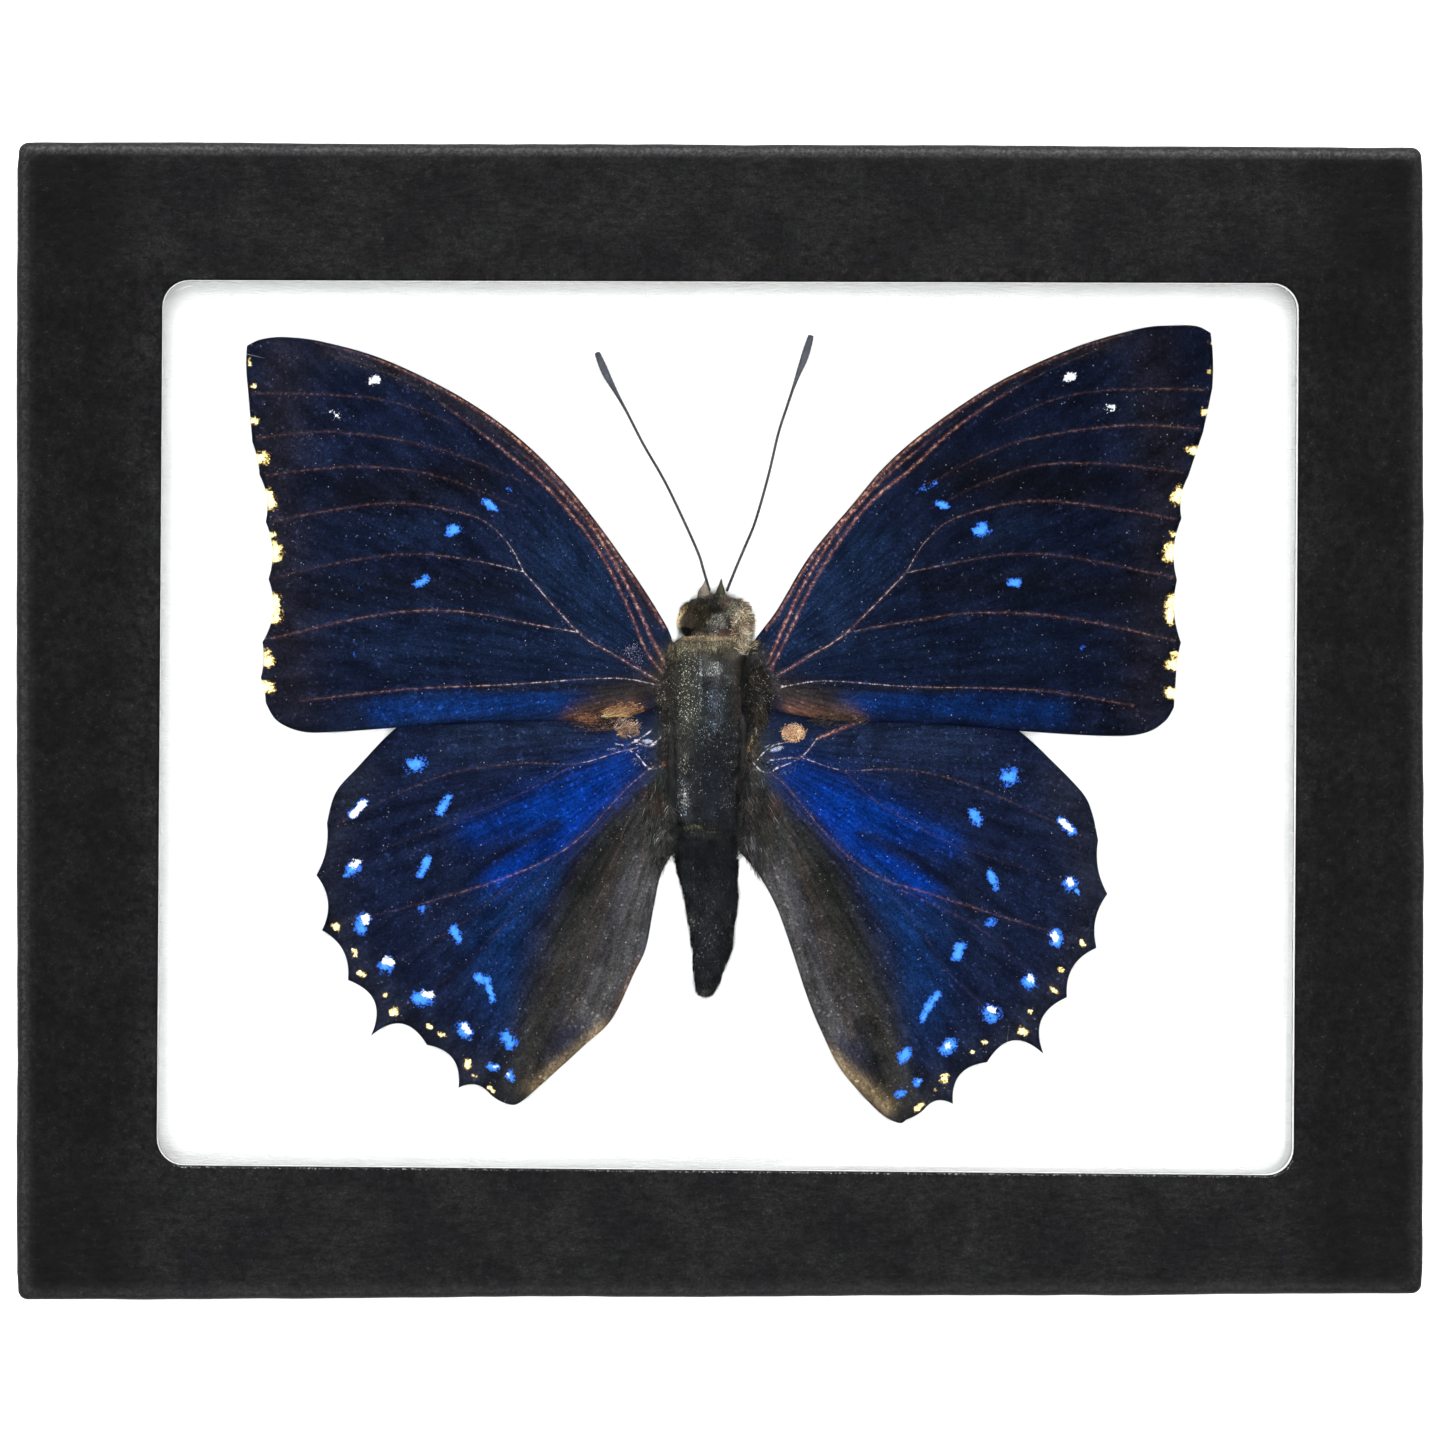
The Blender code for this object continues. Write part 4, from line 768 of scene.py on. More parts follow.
# Ground colours, laid on one after another: colour, strength, course, width. Left side; the right follows.
NAVY = {"forewing": (0.0042, 0.0072, 0.0205), "hindwing": (0.0048, 0.0082, 0.0245)}
STROKES = {
    "forewing": (
        ((0.0095, 0.0092, 0.0145), 0.8, ((-39.5, 33.0), (-40.5, 22.0), (-39.5, 8.0), (-39.0, 1.5)), 3.0),
        ((0.0042, 0.0048, 0.0085), 0.8, ((-22.0, 22.0), (-28.0, 21.0), (-34.0, 20.5)), 2.2),
        ((0.0042, 0.0048, 0.0085), 0.6, ((-20.0, 12.0), (-30.0, 12.4), (-37.0, 11.0)), 1.4),
        ((0.006, 0.014, 0.04), 0.8, ((-8.0, 8.5), (-14.0, 14.5)), 4.2),
        ((0.0045, 0.0095, 0.027), 0.75, ((-12.0, 6.0), (-22.0, 7.0), (-30.0, 6.5)), 2.6),
        ((0.0045, 0.0095, 0.027), 0.5, ((-25.0, 17.0), (-34.0, 17.0)), 1.4),
        ((0.0028, 0.0175, 0.09), 1.0, ((-13.0, 2.0), (-19.0, 1.7), (-25.0, 1.2), (-31.0, 0.8)), 1.25),
        ((0.006, 0.0075, 0.012), 0.85, ((-6.0, 2.5), (-12.0, 3.0), (-22.0, 2.9)), 0.45),
        ((0.015, 0.014, 0.02), 0.8, ((-6.0, 9.2), (-9.6, 14.9), (-15.4, 21.9), (-19.4, 25.6),
                                    (-24.4, 29.0), (-30.5, 31.9), (-36.0, 33.3)), 0.6),
        ((0.03, 0.024, 0.02), 0.7, ((-12.5, 1.2), (-5.5, 3.6)), 1.2),
        ((0.11, 0.052, 0.034), 0.85, ((-13.4, 0.0), (-8.0, 0.9)), 0.9),
        ((0.03, 0.028, 0.024), 0.9, ((-4.8, 1.0), (-5.0, 6.0)), 1.0)),
    "hindwing": (
        ((0.0105, 0.0115, 0.019), 0.7, ((-33.0, -4.5), (-35.2, -10.0), (-35.8, -16.0), (-34.0, -22.0),
                                       (-30.0, -27.0), (-24.0, -31.5), (-19.5, -34.0)), 2.4),
        ((0.0085, 0.0145, 0.037), 0.8, ((-8.0, -1.5), (-16.0, -1.2), (-24.0, -1.5)), 2.2),
        ((0.0008, 0.018, 0.135), 0.95, ((-9.0, -4.6), (-13.0, -6.6), (-17.0, -8.8)), 2.3),
        ((0.0008, 0.015, 0.11), 0.85, ((-16.0, -7.6), (-22.5, -10.2)), 1.5),
        ((0.0004, 0.0185, 0.155), 1.0, ((-11.0, -7.0), (-15.5, -11.0), (-20.5, -14.2)), 1.5),
        ((0.003, 0.0155, 0.066), 0.95, ((-16.0, -13.8), (-19.2, -18.0), (-19.8, -24.0), (-19.3, -28.5)), 1.7),
        ((0.0028, 0.012, 0.05), 0.7, ((-21.0, -16.0), (-22.0, -20.0), (-21.0, -25.0)), 1.8),
        ((0.004, 0.0065, 0.016), 0.8, ((-15.0, -9.4), (-20.0, -12.0), (-25.0, -15.0)), 0.6),
        ((0.019, 0.018, 0.017), 1.0, ((-6.4, -8.0), (-10.8, -14.0), (-14.0, -21.5), (-17.0, -28.5),
                                    (-18.0, -33.0)), 2.6),
        ((0.05, 0.048, 0.05), 1.0, ((-5.5, -11.0), (-7.5, -17.0), (-9.0, -21.0), (-11.5, -26.0)), 2.3),
        ((0.012, 0.0125, 0.0115), 0.8, ((-9.5, -9.0), (-12.6, -14.5), (-14.5, -20.0)), 1.0),
        ((0.034, 0.029, 0.0255), 0.7, ((-9.4, -12.0), (-11.5, -20.0), (-13.8, -27.0)), 0.6),
        ((0.19, 0.14, 0.08), 0.85, ((-10.6, -28.0), (-14.0, -31.0), (-17.0, -33.4)), 0.8),
        ((0.1, 0.06, 0.04), 0.7, ((-7.4, -22.0), (-9.6, -26.6)), 0.5),
        ((0.028, 0.032, 0.03), 0.9, ((-4.5, -1.0), (-5.0, -6.0), (-6.0, -10.0)), 1.6),
        ((0.05, 0.026, 0.02), 0.6, ((-6.7, -6.6), (-6.4, -8.0)), 0.6)),
}
RAY_ROOTS = {"forewing_left": (-3.0, 3.5), "forewing_right": (1.0, 3.5),
             "hindwing_left": (-3.5, -1.5), "hindwing_right": (1.0, -1.8)}


def mirrored(course, wing):
    """A course on the left wing, brought to the right wing, which is spread slightly differently."""
    if wing == "forewing_right":
        return [((-x - 1.0) * 1.045 - 1.0, y * 1.035 - 0.2) for x, y in course]
    if wing == "hindwing_right":
        return [(-x - 2.0, y * 1.03 - 0.6) for x, y in course]
    return course


def wave(x, y):
    return RIPPLE * np.sin(x / 5.0 + 0.6) * np.cos(y / 6.0)


def by_pair(wing, fore, hind):
    return fore if wing.startswith("forewing") else hind


def wing_level(wing):
    return by_pair(wing, FOREWING_LEVEL, HINDWING_LEVEL)


def wing_ring(wing, spacing):
    costa, margin, inner = OUTLINES[wing]
    return np.vstack((spline(costa, spacing)[:-1], scallops(margin, spacing), spline(inner, spacing)[:-1]))


def spot_field(points, spots, reach, size):
    """1 in the middle of a spot, or less where its scales lie sparsely, 0 on its edge and less outside."""
    best = np.full(len(points), -1.5)
    for x0, y0, x1, y1, radius, *fill in spots:
        ends = np.array(((x0, y0), (x1, y1)))
        if not fill:
            ends = ends.mean(0) + (ends - ends.mean(0)) * reach
            radius *= size
        best = np.maximum(best, (fill[0] if fill else 1.0) - nearest(points, ends)[0] / radius)
    return best


WING_CELL, RIM_STEP, VEIN_STEP = 0.37, 0.22, 0.34
GRID_FROM_RIM, GRID_FROM_VEIN, LINE_FROM_RIM = 0.16, 0.36, 0.12
VEIN_LINES = (-0.26, -0.1, 0.0, 0.1, 0.26)
RIDGE_WIDTH, RED_WIDTH, PALE_WIDTH = 0.16, 0.085, 0.055
LOOSE_SCALES = (560, 460)
COSTAL_INSET, COSTAL_START, COSTAL_REACH = 0.24, 8.5, 37.0
COSTAL_TONES = ((0.1, 0.3, 0.15), (0.7, 0.9, 0.1))


def costal_line(wing):
    """The thin coppery edge of a forewing, just inside its costa."""
    edge = spline(OUTLINES[wing][0], VEIN_STEP)
    along = unit(np.gradient(edge, axis=0))
    inward = np.stack((along[:, 1], -along[:, 0]), 1) * (1 if wing == "forewing_right" else -1)
    return (edge + inward * COSTAL_INSET)[(edge[:, 1] > COSTAL_START) & (np.abs(edge[:, 0]) < COSTAL_REACH)]


def build_wing(wing, mat):
    fore, kind, level = wing.startswith("forewing"), wing.split("_")[0], wing_level(wing)
    ring = wing_ring(wing, RIM_STEP)
    veins = [(spline(course, VEIN_STEP), pale, red) for course, pale, red in VEINS[wing]]
    if fore:
        veins.append((costal_line(wing), *COSTAL_TONES))
    low, high = ring.min(0), ring.max(0)
    rows = np.arange(low[1], high[1], WING_CELL * 0.866)
    grid = np.array([(x + (i % 2) * WING_CELL / 2, y) for i, y in enumerate(rows)
                     for x in np.arange(low[0], high[0], WING_CELL)])
    grid = grid + rng.uniform(-0.05, 0.05, grid.shape)
    grid = grid[inside(grid, ring) & (from_ring(grid, ring) > GRID_FROM_RIM)]
    lines = []
    for course, _, _ in veins:
        grid = grid[nearest(grid, course)[0] > GRID_FROM_VEIN]
        along = np.gradient(course, axis=0)
        side = unit(np.stack((-along[:, 1], along[:, 0]), 1))
        lines += [course + side * shift for shift in VEIN_LINES]
    lines = np.vstack(lines)
    lines = lines[inside(lines, ring) & (from_ring(lines, ring) > LINE_FROM_RIM)]
    every = [Vector(p) for p in np.vstack((ring, lines, grid))]
    flat, _, triangles, _, _, _ = geometry.delaunay_2d_cdt(every, [], [list(range(len(ring)))], 1, 1e-3)
    q = np.array([(p.x, p.y) for p in flat])
    rim = from_ring(q, ring)

    pale, red, ridge = (np.zeros(len(q)) for _ in range(3))
    closest = np.full(len(q), 9.0)
    for course, pale_steps, red_steps in veins:
        d, t = nearest(q, course)
        ridge = np.maximum(ridge, bell(d, RIDGE_WIDTH) * (1 - 0.5 * t))
        pale = np.maximum(pale, bell(d, PALE_WIDTH) * np.interp(t, (0, 0.5, 1), pale_steps))
        red = np.maximum(red, bell(d, RED_WIDTH) * np.interp(t, (0, 0.5, 1), red_steps))
        closest = np.minimum(closest, d)
    valley = 0.05 * smooth(closest / 1.3)

    ground = brushed(NAVY[kind], q, [(tone, strength, mirrored(course, wing), width)
                                     for tone, strength, course, width in STROKES[kind]])
    # painted shade: the right forewing is painted darker towards its tip, where it catches less light
    if wing == "forewing_right":
        ground = ground * (1 - 0.32 * smooth((q[:, :1] - 8.0) / 14.0))
    ground = ground * (1 - 0.35 * bell(rim, 0.14))[:, None]
    spot = np.stack([spot_field(q, table[wing], *fit)
                     for table, fit in zip((BLUE, CORES, CREAM), SPOT_FITS[kind])], 1)

    away = q - np.array(RAY_ROOTS[wing])
    reach = np.linalg.norm(away, axis=1)
    ray = np.stack((np.arctan2(away[:, 1], np.abs(away[:, 0])) * 14.0, reach, reach * 0), 1)

    pleat = 0.0
    if not fore:
        fold, _ = nearest(q, mirrored(((-5.5, -10.0), (-8.5, -18.0), (-12.5, -27.0)), wing))
        pleat = 0.04 * bell(fold, 3.0) * np.sin(fold * 3.2)
    body = np.where(rim < 0.01, 0.6, 1.0) * WING_THICKNESS
    base = level + wave(q[:, 0], q[:, 1])
    top = base + body + ridge * VEIN_HEIGHT - valley + pleat
    points = np.vstack((np.column_stack((q, top)), np.column_stack((q, base))))
    count = len(q)
    faces = [tuple(t) for t in triangles] + [tuple(count + i for i in reversed(t)) for t in triangles]
    used = {(a, b) for t in triangles for a, b in zip(t, (*t[1:], t[0]))}
    faces += [(b, a, count + a, count + b) for a, b in used if (b, a) not in used]
    vein = np.stack((pale, red, pale * 0), 1)
    fields = [np.vstack((f, f)) for f in (ground, spot, vein, ray)]

    # loose scales scattered over the wing, thicker along the veins
    number = by_pair(wing, *LOOSE_SCALES)
    place = rng.uniform(low, high, (number * 3, 2))
    near = np.min([nearest(place, course)[0] for course, _, _ in veins], 0)
    place = place[inside(place, ring) & ((rng.random(len(place)) < 0.35) | (near < 0.4))][:number]
    size = rng.uniform(0.035, 0.075, len(place))
    surface = level + WING_THICKNESS + wave(place[:, 0], place[:, 1]) + 0.02
    chips, chip_faces = flakes(np.column_stack((place, surface)), size)
    tone = np.repeat(rng.beta(1.1, 3.2, len(place)), 4)
    blank = np.zeros((len(chips), 3))
    extra = [blank + 0.05, blank - 1.0, np.stack((tone * 0, tone * 0, tone), 1), blank]
    ground, spot, vein, ray = (np.vstack((f, e)) for f, e in zip(fields, extra))
    faces += (chip_faces + len(points)).tolist()
    piece = solid(wing + "_scales", np.vstack((points, chips)), faces, mat,
                  ground=ground, spot=spot, vein=vein, ray=ray)
    dress(piece, "forewing_scales" if fore else "hindwing_scales", wing)


# Butterfly: body

# y, centre x, half width, middle z, half height
THORAX = ((7.6, -1.2, 2.3, 12.4, 1.6), (7.2, -1.2, 3.1, 12.3, 2.2), (6.0, -1.2, 3.6, 12.1, 2.65),
          (4.0, -1.4, 3.8, 12.0, 2.9), (1.0, -1.4, 3.8, 12.0, 2.95), (-2.5, -1.4, 3.7, 12.0, 2.9),
          (-6.0, -1.4, 3.4, 12.2, 2.6), (-8.6, -1.4, 3.1, 12.5, 2.2), (-9.6, -1.4, 2.9, 12.55, 2.0),
          (-10.1, -1.4, 2.5, 12.6, 1.8))
# lumps where the wings join: centre and radii
LUMPS = (("shoulder_left", (-4.6, 2.9, 13.5), (1.1, 4.4, 1.2)),
         ("shoulder_right", (3.0, 2.9, 13.5), (1.25, 4.4, 1.15)),
         ("flank_left", (-4.55, -5.4, 13.0), (0.75, 6.9, 1.45)),
         ("flank_right", (1.95, -5.4, 13.0), (0.8, 6.9, 1.5)))
TUFT = ("tuft", (1.95, 9.0, 12.8), (1.12, 2.45, 1.95))
ABDOMEN_START, ABDOMEN_END, SEGMENTS = -10.0, -25.0, 7
ABDOMEN = ((-1.4, 2.95, 12.5, 2.2), (-1.4, 2.95, 12.6, 2.2), (-1.2, 2.65, 12.8, 2.0),
           (-0.9, 2.4, 13.0, 1.8), (-0.95, 2.05, 13.2, 1.6), (-0.85, 1.8, 13.4, 1.4),
           (-1.25, 1.3, 13.6, 1.15), (-1.45, 0.9, 13.8, 0.75))
ABDOMEN_TIP = ((-24.3, -1.4, 1.0, 13.75, 0.85), (-24.75, -1.5, 0.72, 13.75, 0.65),
               (-25.05, -1.5, 0.35, 13.75, 0.35))
# each segment swells towards its rear edge: place along it and change of half height
SWELL = ((0.03, -0.05), (0.12, -0.02), (0.5, 0.02), (0.9, 0.03), (0.97, 0.0))
HEAD = ((7.6, -0.9, 2.4, 12.4, 1.8), (8.3, -0.9, 2.8, 12.5, 2.1), (9.2, -0.8, 2.9, 12.6, 2.2),
        (10.2, -0.7, 2.5, 12.7, 2.0), (11.1, -0.6, 1.6, 12.8, 1.4), (11.5, -0.6, 0.8, 12.8, 0.7))
EYES = (("eye_left", (-2.75, 9.5, 12.9)), ("eye_right", (1.15, 9.6, 12.3)))
EYE_RADII = (1.45, 1.65, 1.75)
PALPS = (("palp_left", (-1.75, 10.9, 13.2), (-1.45, 12.8, 14.0), 0.62),
         ("palp_right", (-0.15, 10.9, 13.2), (-0.05, 12.9, 14.0), 0.45))
ANTENNAE = {
    "antenna_left": ((-1.1, 11.75, 13.9), (-1.65, 13.6, 14.1), (-2.15, 15.2, 14.2), (-3.4, 18.0, 14.35),
                     (-5.2, 21.7, 14.5), (-7.1, 25.0, 14.5), (-8.65, 28.0, 14.5), (-9.75, 30.0, 14.5),
                     (-10.55, 31.5, 14.45), (-11.35, 33.4, 14.4)),
    "antenna_right": ((0.45, 11.75, 13.9), (1.3, 13.9, 14.1), (2.1, 15.8, 14.2), (3.0, 18.0, 14.35),
                      (4.15, 22.0, 14.5), (5.1, 26.0, 14.5), (5.9, 28.5, 14.5), (6.75, 31.0, 14.5),
                      (7.5, 33.0, 14.45), (8.1, 35.0, 14.4)),
}
STALK_RADIUS, CLUB_RADIUS, STALK_RING = 0.13, 0.36, 0.42
# highest place for hair and loose fibres, lowest place where hair grows, how deep it is rooted
FIBRE_TOP, HAIR_BASE, ROOT_DEPTH = 15.2, 11.0, 0.03
LONG_HAIR = 0.6
NOWHERE = -99.0
BED_GAP = 0.45

# Body colours by place: colour, strength, course, width
BODY_GROUND = (0.024, 0.027, 0.029)
BODY_STROKES = (
    ((0.046, 0.046, 0.037), 0.9, ((-3.3, 6.5), (-3.3, 0.0), (-3.5, -3.0)), 1.1),
    # painted sheen: the next two strokes, a bluish-grey band down the middle of the back and a silver-grey
    # patch near its front
    ((0.036, 0.044, 0.056), 0.9, ((-1.2, 4.6), (-0.9, 0.0)), 0.9),
    ((0.09, 0.09, 0.087), 0.9, ((-1.0, 5.2), (-0.4, 4.2)), 0.75),
    ((0.014, 0.014, 0.018), 0.7, ((-1.5, 3.4), (-1.3, 0.6)), 0.22),
    ((0.055, 0.042, 0.033), 0.85, ((1.2, 5.6), (1.5, 0.0)), 0.45),
    # painted shade: near-black in the hollow on the right of the back
    ((0.006, 0.006, 0.007), 1.0, ((2.35, 4.4), (2.3, 1.0)), 0.5),
    ((0.095, 0.083, 0.058), 0.9, ((-3.6, 6.6), (1.4, 6.5)), 0.75),
    ((0.3, 0.235, 0.16), 0.95, ((-3.9, 7.5), (1.6, 7.4)), 0.4),
    ((0.012, 0.016, 0.021), 0.9, ((-1.6, -0.9), (-0.9, -2.9)), 0.9),
    ((0.006, 0.008, 0.0145), 0.95, ((-0.9, -3.8), (-0.9, -9.4)), 2.1),
    ((0.012, 0.018, 0.03), 0.8, ((-1.1, -4.6), (-0.9, -5.6)), 0.7),
    ((0.013, 0.018, 0.03), 0.8, ((-1.1, -7.6), (-0.9, -8.4)), 0.7),
    ((0.04, 0.044, 0.05), 0.7, ((-3.5, -6.0), (-3.4, -8.6)), 0.6),
    ((0.006, 0.006, 0.007), 1.0, ((-3.6, -10.9), (1.2, -11.1)), 1.3),
    # painted shade: the next four strokes darken the sides of the thorax and the flanks where it meets the
    # wings, so that it reads as rounded
    ((0.018, 0.016, 0.014), 0.95, ((-5.0, 5.4), (-5.0, -1.0)), 0.9),
    ((0.008, 0.007, 0.006), 0.95, ((3.0, 5.4), (3.1, -0.4)), 1.1),
    ((0.011, 0.011, 0.011), 0.9, ((-4.8, -1.6), (-4.7, -12.0)), 0.65),
    ((0.013, 0.011, 0.011), 0.9, ((2.0, -1.6), (2.0, -12.0)), 0.65),
    ((0.0045, 0.0055, 0.008), 1.0, ((-1.3, -12.6), (-1.1, -25.0)), 2.8),
    ((0.019, 0.021, 0.025), 0.8, ((-1.3, -15.5), (-1.2, -24.5)), 0.9),
    ((0.07, 0.066, 0.05), 0.7, ((-3.2, -17.4), (-2.9, -18.6)), 0.35),
    ((0.04, 0.042, 0.04), 0.7, ((0.9, -17.2), (0.8, -20.0)), 0.3),
    ((0.022, 0.017, 0.01), 1.0, ((-2.6, 9.0), (-1.2, 9.8)), 1.2),
    ((0.13, 0.12, 0.1), 0.8, ((0.2, 8.4), (0.4, 11.3)), 0.8),
    # painted shade: the next two strokes are near-black in the pit beside the left eye and in the notch under
    # it
    ((0.005, 0.0045, 0.004), 1.0, ((-1.0, 10.0), (-0.3, 10.0)), 0.4),
    ((0.005, 0.0045, 0.004), 1.0, ((-3.6, 8.1), (-2.9, 8.0)), 0.45),
    ((0.2, 0.16, 0.115), 1.0, ((1.7, 10.6), (2.2, 9.0), (2.4, 7.2)), 1.0),
)


def blotches(points):
    """Tone of the scales from place to place: worn, dusty and dark patches."""
    flat = points * np.array((1.0, 1.0, 0.3))
    return np.exp(0.75 * lumpy(flat, 0.9, 12.0) + 0.5 * lumpy(flat, 0.33, 15.0) - 0.1)[:, None]


def body_colour(points):
    return brushed(BODY_GROUND, points[:, :2], BODY_STROKES) * blotches(points)


def abdomen_rows():
    length = (ABDOMEN_END - ABDOMEN_START) / SEGMENTS
    rows = []
    for i in range(SEGMENTS):
        for t, swell in SWELL:
            mixed = [a + (b - a) * t for a, b in zip(ABDOMEN[i], ABDOMEN[i + 1])]
            rows.append((ABDOMEN_START + length * (i + t), mixed[0], mixed[1] + swell, mixed[2],
                         mixed[3] + swell))
    return [row for row in rows if row[0] > -24.2] + list(ABDOMEN_TIP)


def thorax_relief(x, y):
    """Grooves between the plates of the back, a furrow beside its middle ridge and a hollow on the right."""
    along = smooth(y / 1.5) * smooth((6.6 - y) / 1.0)
    out = 0.12 * bell(x + 1.95, 0.22) * along - 0.1 * bell(x + 1.35, 0.25) * along
    out -= 0.5 * np.exp(-((x - 2.35) / 0.5) ** 2 - ((y - 2.7) / 1.7) ** 2)
    out -= 0.16 * bell(y + 0.9 - 0.3 * np.abs(x + 1.1), 0.2)
    out -= 0.2 * bell(y + 3.5, 0.28)
    out -= 0.14 * bell(y + 6.4, 0.25)
    return out


def no_relief(x, y):
    return 0.0 * x


def section(y, table):
    """Centre x, half width, middle z and half height at y, from rows in the order of y."""
    return [np.interp(y, table[:, 0], table[:, k]) for k in range(1, 5)]


def body_form(name, rows, mat, power=2.6, spacing=0.2, rough=0.07, sides=72, relief=no_relief):
    """A rounded form through cross-sections, with rows and noise fine enough for a dry, uneven skin."""
    table = np.array(rows)
    ys = np.linspace(table[0, 0], table[-1, 0], int(abs(table[0, 0] - table[-1, 0]) / spacing) + 1)
    table = table[np.argsort(table[:, 0])]
    angles = full_turn(sides)
    across, up = (np.sign(v) * np.abs(v) ** (2 / power) for v in (np.cos(angles), np.sin(angles)))
    rings, centres = [], []
    for y in ys:
        centre, width, middle, height = section(y, table)
        rings.append(np.stack((centre + across * width, np.full(sides, y), middle + up * height), 1))
        centres.append((centre, y, middle))
    p = np.vstack(rings)
    bumps = (lumpy(p, 0.9, 5.0) + 0.5 * lumpy(p, 0.35, 8.0)) * rough - rough * 0.6
    away = p - np.repeat(centres, sides, 0)
    p = p + unit(away) * bumps[:, None]
    p[:, 2] += relief(p[:, 0], p[:, 1]) * (away[:, 2] > 0)
    return solid(name, p, tube(len(ys), sides), mat, ground=body_colour(p) * 0.7)


